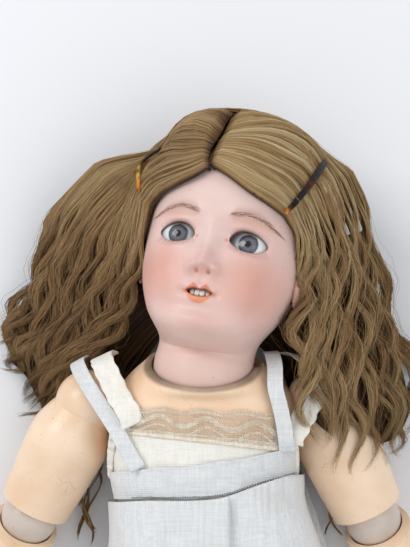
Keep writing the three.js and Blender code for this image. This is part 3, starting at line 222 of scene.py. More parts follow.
def along(table, t):
    """A smooth curve through a table's rows at whole numbers 0, 1, 2, ..."""
    last = len(table) - 1
    i = np.clip(np.floor(t).astype(int), 0, last - 1)
    u = (t - i)[..., None]
    p, a, b, n = (table[np.clip(i + k, 0, last)] for k in (-1, 0, 1, 2))
    cubic = (3 * a - p - 3 * b + n) * u**3
    return 0.5 * (2 * a + (b - p) * u + (2 * p - 5 * a + 4 * b - n) * u**2 + cubic)


def rounded(rows, t, a):
    """The plain form through rounded rows, at row t and angle a from the front."""
    y, slope, half, middle, ahead, behind, square = np.moveaxis(along(rows, t), -1, 0)
    s, c = np.sin(a), np.cos(a)
    r = (np.abs(s) ** square + np.abs(c) ** square) ** (-1 / square)
    depth = np.where(c > 0, ahead, behind) * r * c
    return np.stack([half * r * s, y - slope * depth, middle + depth], -1)


def moved_out(rows, t, a, out):
    """The same moved out along its own normal."""
    p = rounded(rows, t, a)
    e = 0.02
    down = rounded(rows, t + e, a) - rounded(rows, t - e, a)
    around = rounded(rows, t, a + e) - rounded(rows, t, a - e)
    n = np.cross(around, down) * np.sign(rows[-1, 0] - rows[0, 0])
    n /= np.linalg.norm(n, axis=-1, keepdims=True) + 1e-12
    return p + n * np.asarray(out)[..., None]


def bump(u):
    return np.exp(-u * u)


def ease(v, start, end):
    """0 before start and 1 after end, smooth between."""
    u = np.clip((v - start) / (end - start), 0, 1)
    return u * u * (3 - 2 * u)


def face_relief(x, y):
    """Height of the modelled features over the plain head."""
    ax = np.abs(x)
    below = -18.8 - y
    bridge = 1.2 * bump((y - 4) / 9) + 10.5 * (1 - ease(-below, 0, 24)) ** 1.25
    ridge = np.where(below > 0, 10.5 * bump(below / 3.9), bridge)
    nose = ridge * bump(x / (4.4 + 2.2 * bump((y + 18.8) / 8)))
    wings = 4.4 * bump((ax - 7.6) / 3) * bump((y + 21.2) / 3.4)
    nostrils = -2.2 * bump((ax - 3.6) / 1.5) * bump((y + 22.9) / 1.3)
    sockets = -3.6 * bump((ax - 19.8) / 12) * bump((y - 0.5) / 8.5)
    corners_in = -1.8 * bump((ax - 9.5) / 4.5) * bump((y + 1) / 8)
    upper_lid = 1.5 * bump((ax - 21.8) / 10.5) * bump((y - 7.4) / 2.8)
    crease = -0.5 * bump((ax - 21.8) / 9) * bump((y - 10.2) / 0.9)
    lower_lid = 1.05 * bump((ax - 21.8) / 10.5) * bump((y + 7) / 3)
    brows = 1.3 * bump((ax - 22) / 15) * bump((y - 15) / 6)
    cheeks = 2.6 * bump((ax - 27) / 13) * bump((y + 25) / 14)
    upper_lip = 2.3 * bump((y + 32.2) / 2.5) * bump(x / 8.2) - 0.9 * bump(x / 1.9) * bump((y + 31.4) / 2.6)
    lower_lip = 2.5 * bump((y + 39.6) / 2.5) * bump(x / 7)
    corners = -1.4 * bump((ax - 10.6) / 2.6) * bump((y + 35.4) / 2.6)
    sulcus = -0.9 * bump(x / 9) * bump((y + 45.4) / 3)
    philtrum = -0.7 * bump(x / 1.7) * bump((y + 27) / 3.2)
    chin = 2.4 * bump(x / 10.5) * bump((y + 51.5) / 6.5)
    eyes = sockets + corners_in + upper_lid + crease + lower_lid + brows
    upper_face = nose + wings + nostrils + eyes + cheeks
    return upper_face + upper_lip + lower_lip + corners + sulcus + philtrum + chin


def eye_edge(x, y):
    """Below 0 inside the cut for an eye, whose arch peaks towards the nose."""
    u = (np.abs(x) - 21.8) / 11.3
    top = 6.3 * (1 - np.clip(np.abs(u + 0.1 * (1 - u * u)), 0, 1) ** 2.2) ** 0.72
    bottom = -5.7 * (1 - np.clip(np.abs(u - 0.08 * (1 - u * u)), 0, 1) ** 2.1) ** 0.75
    inside = np.maximum(y - top, bottom - y)
    return np.where(np.abs(u) < 1, inside, 3 + np.abs(u))


def mouth_edge(x, y):
    """Below 0 inside the parted lips."""
    u = np.abs(x) / 8.4
    c = np.clip(1 - u * u, 0, 1)
    top = -34.6 + 0.9 * c + 0.9 * bump((np.abs(x) - 4) / 2.6) * c
    bottom = -34.6 - 3.1 * c**0.8
    return np.where(u < 1, np.maximum(y - top, bottom - y), 3 + u)


levels = np.concatenate([np.linspace(0, 4.6, 26)[:-1], np.linspace(4.6, 17.2, 196)[:-1],
    np.linspace(17.2, 20, 16)])
share = np.linspace(-1, 1, 340, endpoint=False)
angles = math.pi * share * (0.22 + 0.78 * np.abs(share) ** 1.25)
T, A = np.meshgrid(levels, angles, indexing="ij")
skin = rounded(HEAD_ROWS, T, A)
facing = ease(skin[..., 2], 0, 24)
skin[..., 2] += facing * face_relief(skin[..., 0], skin[..., 1])
in_front = skin[..., 2] > 22
cut = np.minimum(eye_edge(skin[..., 0], skin[..., 1]), mouth_edge(skin[..., 0], skin[..., 1]))
inside = (cut < 0) & in_front
count = len(angles)
rows = len(levels)


def quads_of(rows, count, closed=True):
    """Corner numbers of a grid's faces, row by row."""
    i, j = np.meshgrid(np.arange(rows - 1), np.arange(count if closed else count - 1), indexing="ij")
    k = (j + 1) % count
    return np.stack([i * count + j, i * count + k, (i + 1) * count + k, (i + 1) * count + j],
        -1).reshape(-1, 4)


quads = quads_of(rows, count)
kept = quads[~inside.reshape(-1)[quads].all(1)]
flat = skin.reshape(-1, 3)
slope_x = np.gradient(skin[..., 2], axis=1) / (np.gradient(skin[..., 0], axis=1) + 1e-9)
slope_y = np.gradient(skin[..., 2], axis=0) / (np.gradient(skin[..., 1], axis=0) + 1e-9)
slopes = np.clip(np.stack([slope_x, slope_y], -1).reshape(-1, 2), -2, 2)
rim = np.intersect1d(np.unique(kept), np.flatnonzero(inside.reshape(-1)))


def nearest_cut(x, y):
    return np.minimum(eye_edge(x, y), mouth_edge(x, y))


for _ in range(12):
    x, y = flat[rim, 0], flat[rim, 1]
    f = nearest_cut(x, y)
    gx = (nearest_cut(x + 0.02, y) - nearest_cut(x - 0.02, y)) / 0.04
    gy = (nearest_cut(x, y + 0.02) - nearest_cut(x, y - 0.02)) / 0.04
    step = np.clip(f / (gx * gx + gy * gy + 1e-6), -0.4, 0.4)[:, None] * np.stack([gx, gy], -1)
    step = np.clip(step, -0.4, 0.4)
    flat[rim, :2] -= step
    flat[rim, 2] -= (slopes[rim] * step).sum(1)


def mesh_piece(name, points, faces, material=None, smooth=True):
    """A mesh object of points in mm, at the origin, with loose points dropped."""
    used = np.unique(np.concatenate([np.asarray(f).ravel() for f in faces]))
    place = np.full(len(points), -1)
    place[used] = np.arange(len(used))
    data = bpy.data.meshes.new(name)
    data.from_pydata((points[used] * mm).tolist(), [],
        [f for group in faces for f in place[np.asarray(group)].tolist()])
    data.polygons.foreach_set("use_smooth", [smooth] * len(data.polygons))
    made = bpy.data.objects.new(name, data)
    bpy.context.scene.collection.objects.link(made)
    if material:
        data.materials.append(material)
    return made


def coat(made, colours):
    """Colours by point, as the attribute that a painted material reads."""
    layer = made.data.color_attributes.new("paint", "FLOAT_COLOR", "POINT")
    layer.data.foreach_set("color", np.concatenate([colours, np.ones((len(colours), 1))], 1).ravel())


def set_in_head(made, points):
    """Gives a mesh its points from the head's own frame, in mm."""
    made.data.vertices.foreach_set("co", (from_head(points) * mm).ravel())


# The bisque's own tint and the colours fired on it, by place on the face, with painted shade under the chin,
# round the eye cuts and at the mouth corners
def painted_bisque(x, y, z):
    ax = np.abs(x)
    front = ease(z, 0, 26)[..., None]

    def over(under, code, amount):
        amount = np.clip(amount, 0, 1)[..., None]
        return under * (1 - amount) + np.array(linear(code)[:3]) * amount

    made = np.broadcast_to(np.array(linear("#e9cdc5")[:3]), x.shape + (3,))
    # Darker and warmer under the chin and down the neck: painted shade
    made = over(made, "#e6c6ba", ease(-y, 50, 62))
    face = made
    face = over(face, "#dc9380", 0.6 * bump((ax - 31) / 18) * bump((y + 22) / 20))
    face = over(face, "#dd9884", 0.4 * bump((ax - 25) / 22) * bump((y + 30) / 16))
    face = over(face, "#dca594", 0.5 * bump((ax - 22) / 14) * bump((y - 11) / 4.5))
    face = over(face, "#dca594", 0.4 * bump(x / 6) * bump((y + 19) / 7))
    face = over(face, "#dca493", 0.4 * bump(x / 16) * bump((y + 53) / 7))
    face = over(face, "#cf8a74", 0.5 * bump(ax - 48) + 0.5 * ease(ax, 46, 51) * bump((y + 14) / 16))
    brow_y = 12.2 + 4.0 * bump((ax - 20) / 12) - 2.6 * ease(ax, 28, 40)
    brow_wide = 3.0 * ease(ax, 8.2, 13) * (1 - ease(ax, 26, 40)) + 0.25
    brow = bump((y - brow_y) / (brow_wide + 0.25)) * ease(ax, 7.4, 10) * (1 - ease(ax, 35, 41))
    grain = 0.82 + 0.18 * np.sin(7.5 * ax + 5 * y + 2 * np.sin(3 * y))
    face = over(face, "#b08269", 0.72 * brow * grain)
    # Round each eye cut: a near-black line, heavier above, that is the painted lid line together with painted
    # shade of the gap round the glass; a softer brown liner above it
    cut_off = eye_edge(x, y)
    upper = ease(y, -2.6, 0.6)
    face = over(face, "#2b1d18", 0.95 * bump(np.clip(cut_off, 0, 9) / 0.62) * (0.35 + 0.65 * upper))
    face = over(face, "#8a6454", 0.4 * bump(np.clip(cut_off - 0.4, 0, 9) / 1.3) * upper)
    face = over(face, "#d77a63", 0.9 * bump(np.hypot(ax - 9.2, y + 0.6) / 1.0))
    face = over(face, "#cd7458", 0.85 * bump(np.hypot((ax - 3.6) / 1.25, y + 22.8) / 1.0))
    bow = -30.3 - 2.5 * bump(x / 2.2) - 3.9 * ease(ax, 3.6, 9.2)
    upper_lip = ease(bow - y, -0.35, 0.35) * ease(y + 36.6, -0.3, 0.3) * ease(9.4 - ax, 0, 0.9)
    under = -35.2 - 6.6 * np.clip(1 - (ax / 8.3) ** 2.4, 0, 1) ** 0.8
    lower_lip = ease(y - under, -0.35, 0.35) * ease(-34.8 - y, -0.3, 0.3) * ease(8.5 - ax, 0, 0.9)
    face = over(face, "#da8460", 0.94 * upper_lip)
    face = over(face, "#ec986f", 0.94 * lower_lip)
    # Darker at the mouth corners, in the crease: painted shade
    face = over(face, "#a2604a", 0.5 * bump(np.hypot(ax - 9.6, y + 35.0) / 1.1))
    mouth = np.clip(mouth_edge(x, y), 0, 9)
    face = over(face, "#8e3c2a", 0.75 * bump(mouth / 0.5))
    return made * (1 - front) + face * front


head = mesh_piece("bisque_head_shell", from_head(flat), [kept])
head_faces = BVHTree.FromPolygons([Vector(p) for p in flat], kept.tolist())
paint = painted_bisque(flat[:, 0], flat[:, 1], flat[:, 2])
coat(head, paint[np.unique(kept)])

# The cut edges turn in, to the wall's thickness
solid = bmesh.new()
solid.from_mesh(head.data)
inward = Vector(HEAD_TURN @ np.array([0, 0, -1.0])) * mm
edges = [e for e in solid.edges if e.is_boundary]
local = lambda v: (np.array(v.co) / mm - HEAD_PLACE) @ HEAD_TURN
edges = [e for e in edges if local(e.verts[0])[2] > 22 and local(e.verts[0])[1] > -50]
for depth in (0.35, 0.9, 2.6):
    made = bmesh.ops.extrude_edge_only(solid, edges=edges)["geom"]
    for v in [g for g in made if isinstance(g, bmesh.types.BMVert)]:
        v.co += inward * depth
    edges = [g for g in made if isinstance(g, bmesh.types.BMEdge)]
solid.to_mesh(head.data)
solid.free()

# Unglazed tinted porcelain, fired and rubbed smooth: a soft sheen with no hard highlight,
# a breath of uneven tint and the odd dark speck in the clay
bisque, tree, bsdf = new_material("bisque_porcelain", Roughness=0.42, Specular_IOR_Level=0.42, IOR=1.5)
bsdf.inputs["Subsurface Weight"].default_value = 0.06
bsdf.inputs["Subsurface Scale"].default_value = 0.002
place = add(tree, "ShaderNodeTexCoord").outputs["Object"]
tint = add(tree, "ShaderNodeAttribute", attribute_name="paint").outputs["Color"]
cloud = add(tree, "ShaderNodeTexNoise", {"Vector": place, "Scale": 55.0, "Detail": 4.0}).outputs["Fac"]
mottle = ramp(tree, cloud, (0.3, "#f8f4f2"), (0.7, "#ffffff"))
inputs = {"Factor": 1.0, "A": tint, "B": mottle}
blend = add(tree, "ShaderNodeMix", inputs, data_type="RGBA", blend_type="MULTIPLY")
speck = add(tree, "ShaderNodeTexVoronoi", {"Vector": place, "Scale": 95.0}).outputs["Distance"]
dots = ramp(tree, speck, (0.03, "#c9a89c"), (0.055, "#ffffff"))
inputs = {"Factor": 0.6, "A": blend.outputs["Result"], "B": dots}
specked = add(tree, "ShaderNodeMix", inputs, data_type="RGBA", blend_type="MULTIPLY")
tree.links.new(specked.outputs["Result"], bsdf.inputs["Base Color"])
clay = add(tree, "ShaderNodeTexNoise", {"Vector": place, "Scale": 1400.0, "Detail": 2.0}).outputs["Fac"]
skin_bump = add(tree, "ShaderNodeBump", {"Strength": 0.06, "Distance": 0.0002, "Height": clay})
tree.links.new(skin_bump.outputs["Normal"], bsdf.inputs["Normal"])
head.data.materials.append(bisque)
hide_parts("bisque_head")
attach(head, "head")

# Painted lashes: fine strokes fired on the bisque round each eye, a few tenths of a
# millimetre wide and 3 to 5 mm long, longest at the outer corners.
def on_face(x, y, out=0.05):
    hit = head_faces.ray_cast(Vector((x, y, 90)), Vector((0, 0, -1)))
    return np.array(hit[0]) + np.array([0, 0, out]) if hit[0] else np.array([x, y, 40.0])


def stroke(points, half):
    """A tapering brush stroke along points on the face: a thin closed sliver."""
    points = np.array(points)
    run = np.gradient(points, axis=0)
    aside = np.cross(run, [0, 0, 1.0])
    aside /= np.linalg.norm(aside, axis=1, keepdims=True) + 1e-9
    taper = half * np.sqrt(np.linspace(1, 0.08, len(points)))[:, None]
    left, right = points - aside * taper, points + aside * taper
    low = points - [0, 0, 0.12]
    return np.stack([left, right, low], 1)


strokes = []
dice = np.random.default_rng(11)
for side in (-1, 1):
    for lid, number in ((1, 22), (-1, 26)):
        for k in range(number):
            w = (k + 0.5) / number * 1.9 - 0.95
            u = w * 11.0
            x = 21.8 + u
            edge = 0.0
            for y in np.arange(0, 8 * lid, 0.1 * lid):
                edge = y
                if eye_edge(np.array(x), np.array(y)) > 0.25:
                    break
            lean = 0.75 * w + dice.normal(0, 0.06)
            long = (2.6 + 1.3 * max(0, w)) * (1.0 if lid > 0 else 1.15) + dice.normal(0, 0.2)
            line = []
            for s in np.linspace(0, 1, 6):
                line.append(on_face(side * (x + lean * long * s), edge + lid * (long * s * (1 - 0.12 * s))))
            strokes.append(stroke(line, 0.13 if lid < 0 else 0.1))
    for k in range(64):
        w = (k + dice.uniform(0, 1)) / 64
        ax = 9.2 + 28.5 * w
        y = 12.2 + 4.0 * math.exp(-(((ax - 20) / 12) ** 2)) - 2.6 * float(ease(np.array(ax), 28, 40))
        y += dice.uniform(-1.9, 1.1) * (1 - 0.6 * w)
        run = 4.2 + dice.normal(0, 0.5)
        rise = 1.5 * (1 - w) - 1.0 * w
        line = [on_face(side * (ax + run * s), y + rise * s - 0.5 * s * s) for s in np.linspace(0, 1, 6)]
        strokes.append(stroke(line, 0.13))
rings = np.array(strokes)
number, steps = rings.shape[:2]
sides = (quads_of(steps, 3)[None] + 3 * steps * np.arange(number)[:, None, None]).reshape(-1, 4)
caps = np.array([[0, 2, 1], [3 * steps - 3, 3 * steps - 2, 3 * steps - 1]])
caps = (caps[None] + 3 * steps * np.arange(number)[:, None, None]).reshape(-1, 3)
lashes = mesh_piece("painted_lashes_and_brows", from_head(rings.reshape(-1, 3)), [sides, caps])
# China paint, a thin fired brown film
china_paint, tree, bsdf = new_material("china_paint", Roughness=0.5)
grained(tree, bsdf, (0.3, "#8d6a57"), (0.7, "#ad8772"), Scale=600.0)
lashes.data.materials.append(china_paint)
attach(lashes, "head")

# Blown glass eyes: a white globe, raised a little over a blue-grey threaded iris and black
# pupil. Both hang on the wire of the weight. They have no lids, so closed they show white.
BALL_PLACE, BALL_RADIUS = 26.4, 14.6
for side in (-1, 1):
    name = "left" if side > 0 else "right"
    bpy.ops.object.select_all(action="DESELECT")
    bpy.ops.mesh.primitive_uv_sphere_add(segments=96, ring_count=64, radius=BALL_RADIUS * mm)
    globe = bpy.context.object
    globe.name = f"{name}_glass_eye"
    bpy.ops.object.shade_smooth()
    points = points_of(globe) / mm
    share = np.clip(np.hypot(points[:, 0], points[:, 1]) / BALL_RADIUS, 0, 1)
    r = np.hypot(points[:, 0] - side * 0.9, points[:, 1])
    ahead = points[:, 2] > 0
    flat_front = BALL_RADIUS * np.sqrt(1 - share**2.25) + 0.7 * bump(r / 5.4)
    points[:, 2] = np.where(ahead, flat_front, points[:, 2])
    paint = np.broadcast_to(np.array(linear("#dcdfe0")[:3]), points.shape).copy()

    def tinted(code, amount):
        amount = np.clip(np.where(ahead, amount, 0), 0, 1)[:, None]
        paint[:] = paint * (1 - amount) + np.array(linear(code)[:3]) * amount

    around = np.arctan2(points[:, 1], points[:, 0] - side * 0.9)
    # The white greys toward its edge, under the lids: painted shade
    tinted("#b9b4b6", ease(r, 6.5, 9.5) * 0.8)
    tinted("#1d1f24", 1 - ease(r, 5.5, 6.1))
    tinted("#55565f", (1 - ease(r, 4.8, 5.7)) * 0.95)
    threads = 0.5 + 0.5 * np.sin(46 * around + 2 * np.sin(9 * around))
    tinted("#8b8a93", (1 - ease(r, 3.3, 5.1)) * ease(r, 1.6, 2.6) * (0.25 + 0.5 * threads))
    tinted("#34343c", (1 - ease(r, 4.2, 5.5)) * ease(r, 1.8, 3) * 0.45 * (1 - threads))
    tinted("#08090a", 1 - ease(r, 1.75, 2.15))
    points = points * [1.05, 1.03, 1] + [side * 20.7, 0, BALL_PLACE - 0.3]
    set_in_head(globe, points)
    coat(globe, paint)
    if side < 0:
        # Lead-free opal glass, fire polished: bright with one sharp window in it
        opal_glass, tree, bsdf = new_material("opal_eye_glass", Roughness=0.07, IOR=1.45)
        bsdf.inputs["Coat Weight"].default_value = 0.3
        bsdf.inputs["Coat Roughness"].default_value = 0.02
        tint = add(tree, "ShaderNodeAttribute", attribute_name="paint").outputs["Color"]
        tree.links.new(tint, bsdf.inputs["Base Color"])
    globe.data.materials.append(opal_glass)
    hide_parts(f"{name}_eye")
    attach(globe, "eyes")

# Four small porcelain teeth in a row, cast with a gum strip and set behind the upper lip.
bpy.ops.object.select_all(action="DESELECT")
teeth_parts = []
for k, x in enumerate((-4.75, -1.6, 1.6, 4.75)):
    bpy.ops.mesh.primitive_uv_sphere_add(segments=24, ring_count=16, radius=1)
    tooth = bpy.context.object
    points = points_of(tooth)
    points = np.sign(points) * np.abs(points) ** 0.62
    wide, tall = (1.62, 2.0) if k in (1, 2) else (1.4, 1.7)
    points = points * [wide, tall, 1.3] + [x, -35.0 + (0.2 if k in (0, 3) else 0), 45.6 - 0.06 * x * x]
    set_in_head(tooth, points)
    teeth_parts.append(tooth)
bpy.ops.mesh.primitive_cube_add(size=1)
strip = bpy.context.object
points = points_of(strip) * [13.5, 4.4, 2.0] + [0, -32.6, 43.4]
set_in_head(strip, points)
teeth_parts.append(strip)
for part in teeth_parts:
    part.select_set(True)
bpy.context.view_layer.objects.active = teeth_parts[0]
bpy.ops.object.join()
teeth = bpy.context.object
teeth.name = "row_of_teeth"
bpy.ops.object.shade_smooth()
# Glazed white porcelain, a little warm, with a wet gloss
tooth_glaze, tree, bsdf = new_material("glazed_tooth_porcelain", Roughness=0.18, IOR=1.5)
grained(tree, bsdf, (0.3, "#efe9dc"), (0.7, "#fbf8f0"), Scale=500.0)
teeth.data.materials.append(tooth_glaze)
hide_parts("upper_teeth")
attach(teeth, "head")

# The dark hollow behind the lips: the red-brown paint of the inner wall of the mouth, darkened nearly to
# black as painted shade
bpy.ops.object.select_all(action="DESELECT")
bpy.ops.mesh.primitive_uv_sphere_add(segments=32, ring_count=16, radius=1)
hollow = bpy.context.object
hollow.name = "mouth_lining"
points = points_of(hollow) * [11, 6.5, 2.2] + [0, -36.2, 41.0]
set_in_head(hollow, points)
bpy.ops.object.shade_smooth()
inner_paint_and_shade, tree, bsdf = new_material("inner_mouth_paint_and_shade", Roughness=0.7)
# Near black red-brown: the mouth's red paint with painted shade over it
grained(tree, bsdf, (0.3, "#2a110c"), (0.7, "#4a2018"), Scale=300.0)
hollow.data.materials.append(inner_paint_and_shade)
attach(hollow, "head")

# The wig: long brown hair sewn to a net cap, parted askew over the brow, combed flat over
# the crown to the slides and falling in loose waves on the ground, with painted shade beneath.
CAP = 2.2 + 1.2 + 0.4 + 0.2


def hair_thickness(t, a):
    side = np.abs((a + math.pi) % (2 * math.pi) - math.pi)
    inward = np.maximum(ease(side, 0.85, 1.5), ease(t, 16.4, 18.8))
    crown = ease(t, 13, 19)
    behind = ease(-np.cos(a), -0.1, 0.75) * (1 - crown)
    plain = (15 + 6 * crown) * (0.28 + 0.72 * inward)
    return plain + (4.5 - plain) * behind


dome_t, dome_a = np.meshgrid(np.linspace(5, 20, 90), np.linspace(-math.pi, math.pi, 120, endpoint=False),
    indexing="ij")
dome = moved_out(HEAD_ROWS, dome_t, dome_a, CAP + hair_thickness(dome_t, dome_a))
tip = dome.size // 3
dome_points = np.concatenate([dome.reshape(-1, 3), dome[-1].mean(0)[None]])
top_faces = [[tip - 120 + j, tip - 120 + (j + 1) % 120, tip] for j in range(120)]
dome_tree = BVHTree.FromPolygons([Vector(p) for p in dome_points], quads_of(90, 120).tolist() + top_faces)
middle = np.array([0, 14, -4.0])
reach = np.zeros((91, 181))
for i, polar in enumerate(np.linspace(0, math.pi, 91)):
    for j, turn in enumerate(np.linspace(-math.pi, math.pi, 181)):
        ray = Vector((math.sin(polar) * math.sin(turn), math.cos(polar), math.sin(polar) * math.cos(turn)))
        hit = dome_tree.ray_cast(Vector(middle), ray)
        reach[i, j] = hit[3] if hit[0] else (reach[i - 1, j] if i else 60)


def on_dome(direction, lift):
    """Points over the combed hair along directions from the middle of the head, in mm."""
    d = direction / np.linalg.norm(direction, axis=-1, keepdims=True)
    polar = np.clip(np.arccos(np.clip(d[..., 1], -1, 1)) / math.pi * 90, 0, 89.999)
    turn = np.clip((np.arctan2(d[..., 0], d[..., 2]) + math.pi) / (2 * math.pi) * 180, 0, 179.999)
    i, j = polar.astype(int), turn.astype(int)
    u, v = polar - i, turn - j
    near = reach[i, j] * (1 - v) + reach[i, j + 1] * v
    far = reach[i + 1, j] * (1 - v) + reach[i + 1, j + 1] * v
    return middle + d * (near * (1 - u) + far * u + lift)[..., None]


def to_head(points):
    return (points - HEAD_PLACE) @ HEAD_TURN


def way_to_pixel(px, py):
    """Direction from the middle of the head to the combed hair that shows at a pixel."""
    low, high = to_head(under_pixel(px, py, 0)), to_head(under_pixel(px, py, 200))
    down = Vector(low - high).normalized()
    hit = dome_tree.ray_cast(Vector(high), down)
    if hit[0]:
        return np.array(hit[0]) - middle
    nearest = high + np.array(down) * float((middle - high) @ np.array(down))
    return nearest - middle


# How the crown is combed: lines from the parting to the temples, as pixels of the picture,
# the hairline first. Each goes on as a line of the fall below.
COMBED = {
    -1: [
        [(208, 161), (192, 171), (172, 180), (155, 190), (145, 203)],
        [(208, 154), (186, 160), (163, 168), (145, 180), (134, 197)],
        [(212, 143), (181, 143), (152, 150), (129, 163), (115, 180)],
        [(221, 129), (186, 120), (151, 124), (121, 138), (101, 160)],
        [(234, 110), (198, 101), (160, 106), (122, 122), (94, 148)],
    ],
    1: [
        [(211, 160), (229, 171), (251, 188), (274, 202), (290, 214)],
        [(213, 152), (241, 158), (268, 171), (290, 186), (303, 202)],
        [(217, 141), (251, 140), (285, 151), (309, 168), (322, 186)],
        [(225, 128), (262, 120), (299, 130), (327, 150), (340, 170)],
        [(235, 110), (270, 103), (304, 110), (333, 131), (349, 154)],
    ],
}
# How it falls from the temples: pixels of the picture with a height in mm
FALLS = {
    -1: [
        [(146, 216, 86), (141, 244, 80), (137, 274, 70), (128, 306, 56), (106, 338, 42), (90, 366, 35),
            (68, 398, 22), (48, 424, 12)],
        [(131, 204, 78), (121, 232, 68), (111, 266, 58), (101, 304, 46), (87, 338, 38), (68, 370, 30),
            (46, 404, 16), (27, 436, 9)],
        [(112, 186, 72), (97, 212, 64), (87, 248, 54), (79, 290, 42), (67, 330, 32), (52, 366, 22),
            (36, 396, 12), (21, 430, 8)],
        [(97, 168, 62), (77, 200, 54), (62, 238, 45), (51, 284, 33), (42, 322, 22), (34, 350, 15),
            (24, 374, 10), (10, 392, 7)],
        [(89, 156, 48), (64, 190, 40), (47, 234, 32), (33, 280, 22), (16, 312, 14), (5, 332, 10),
            (-1, 352, 8), (4, 372, 7)],
    ],
    1: [
        [(292, 222, 101), (300, 244, 95), (301, 274, 84), (298, 306, 80), (299, 338, 80), (303, 372, 83),
            (307, 412, 84), (316, 458, 78)],
        [(306, 208, 100), (316, 232, 93), (322, 266, 82), (321, 304, 78), (323, 346, 77), (328, 390, 77),
            (336, 436, 72), (352, 480, 64)],
        [(326, 194, 92), (336, 220, 85), (343, 260, 74), (345, 308, 70), (351, 354, 68), (360, 398, 67),
            (370, 444, 61), (380, 484, 54)],
        [(344, 178, 74), (356, 214, 68), (362, 256, 60), (369, 304, 52), (379, 350, 48), (391, 394, 44),
            (399, 434, 38), (396, 468, 32)],
        [(354, 164, 56), (370, 206, 48), (375, 248, 40), (384, 292, 30), (398, 326, 20), (410, 360, 13),
            (416, 400, 9), (412, 436, 7)],
    ],
}
UNDER = {
    -1: [
        [(172, 326, 30), (162, 338, 28), (150, 352, 22), (134, 376, 13), (116, 412, 10), (103, 450, 9),
            (96, 480, 8), (96, 508, 7)],
        [(152, 298, 36), (136, 314, 34), (120, 332, 28), (104, 360, 18), (98, 404, 10), (92, 446, 8),
            (84, 500, 8), (86, 546, 7)],
        [(142, 270, 40), (124, 290, 38), (106, 316, 30), (90, 350, 22), (80, 392, 14), (76, 420, 10),
            (74, 440, 8), (78, 456, 7)],
        [(141, 222, 62), (136, 246, 56), (129, 274, 50), (119, 304, 42), (104, 336, 34), (88, 366, 26),
            (72, 394, 16), (64, 418, 9)],
    ],
    1: [
        [(244, 332, 34), (254, 342, 30), (270, 356, 22), (290, 388, 13), (306, 430, 10), (320, 470, 9),
            (330, 504, 8), (330, 536, 7)],
        [(266, 304, 48), (282, 318, 46), (298, 336, 38), (314, 372, 20), (323, 420, 12), (332, 462, 9),
            (342, 500, 8), (345, 530, 7)],
        [(278, 280, 54), (296, 296, 52), (314, 320, 44), (334, 356, 34), (350, 400, 18), (360, 440, 10),
            (360, 470, 8), (356, 490, 7)],
        [(296, 232, 80), (302, 256, 74), (304, 286, 68), (306, 316, 62), (314, 350, 52), (328, 392, 38),
            (342, 434, 24), (352, 468, 12)],
    ],
}


def across_lines(table, e, v):
    """Places between guide lines: table is (lines, points, 3), e runs across and v along."""
    lines, count = table.shape[:2]
    rows = along(table.transpose(1, 0, 2).reshape(count, -1), v * (count - 1)).reshape(v.shape + (lines, 3))
    place = np.clip(e, 0, 1) * (lines - 1)
    i = np.clip(place.astype(int), 0, lines - 2)
    u = (place - i)[..., None]
    at = [np.take_along_axis(rows, np.clip(i + k, 0, lines - 1)[..., None, None], -2)[..., 0,
        :] for k in (-1, 0, 1, 2)]
    p, a, b, n = at
    return 0.5 * (2 * a + (b - p) * u + (2 * p - 5 * a + 4 * b - n) * u**2 + (3 * a - p - 3 * b + n) * u**3)


def strands(name, paths, half, shade, material):
    """Three-sided hairs along paths (count, steps, 3) in mm, each closed, with a tone each."""
    run = np.gradient(paths, axis=1)
    run /= np.linalg.norm(run, axis=2, keepdims=True) + 1e-9
    first = np.cross(run, [0.12, 0.2, 1.0])
    first /= np.linalg.norm(first, axis=2, keepdims=True) + 1e-9
    second = np.cross(run, first)
    number, steps = paths.shape[:2]
    corners = []
    for k in range(3):
        w = 2 * math.pi * k / 3
        corners.append(paths + (first * math.cos(w) + second * math.sin(w)) * half[..., None])
    rings = np.stack(corners, 2)
    rings[..., 2] = np.maximum(rings[..., 2], 0.5)
    start = 3 * steps * np.arange(number)[:, None, None]
    sides = (quads_of(steps, 3)[None] + start).reshape(-1, 4)
    caps = np.array([[0, 1, 2], [3 * steps - 1, 3 * steps - 2, 3 * steps - 3]])
    caps = (caps[None] + start).reshape(-1, 3)
    data = bpy.data.meshes.new(name)
    data.vertices.add(number * steps * 3)
    data.vertices.foreach_set("co", (rings * mm).ravel())
    loops = np.concatenate([sides.ravel(), caps.ravel()])
    data.loops.add(len(loops))
    data.loops.foreach_set("vertex_index", loops)
    data.polygons.add(len(sides) + len(caps))
    starts = np.concatenate([np.arange(len(sides)) * 4, len(sides) * 4 + np.arange(len(caps)) * 3])
    data.polygons.foreach_set("loop_start", starts)
    data.polygons.foreach_set("use_smooth", [True] * (len(sides) + len(caps)))
    data.update(calc_edges=True)
    tone = data.attributes.new("tone", "FLOAT", "POINT")
    tone.data.foreach_set("value", np.repeat(shade, 3, axis=1).ravel().astype(np.float32))
    made = bpy.data.objects.new(name, data)
    bpy.context.scene.collection.objects.link(made)
    data.materials.append(material)
    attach(made, "head")
    return made


# Dyed mohair-like hair: fine glossy fibres. Their tone carries painted shade, near black where they
# lie deep, with red-brown in the waves and gold-brown on top
hair_fibre, tree, bsdf = new_material("combed_hair", Roughness=0.45, Specular_IOR_Level=0.3, IOR=1.55)
tone = add(tree, "ShaderNodeAttribute", attribute_name="tone").outputs["Fac"]
tree.links.new(
    ramp(tree, tone, (0.0, "#16110d"), (0.2, "#5d4229"), (0.5, "#a07d52"), (0.75, "#c0a678"),
        (1.0, "#e0cfa6")),
    bsdf.inputs["Base Color"],
)


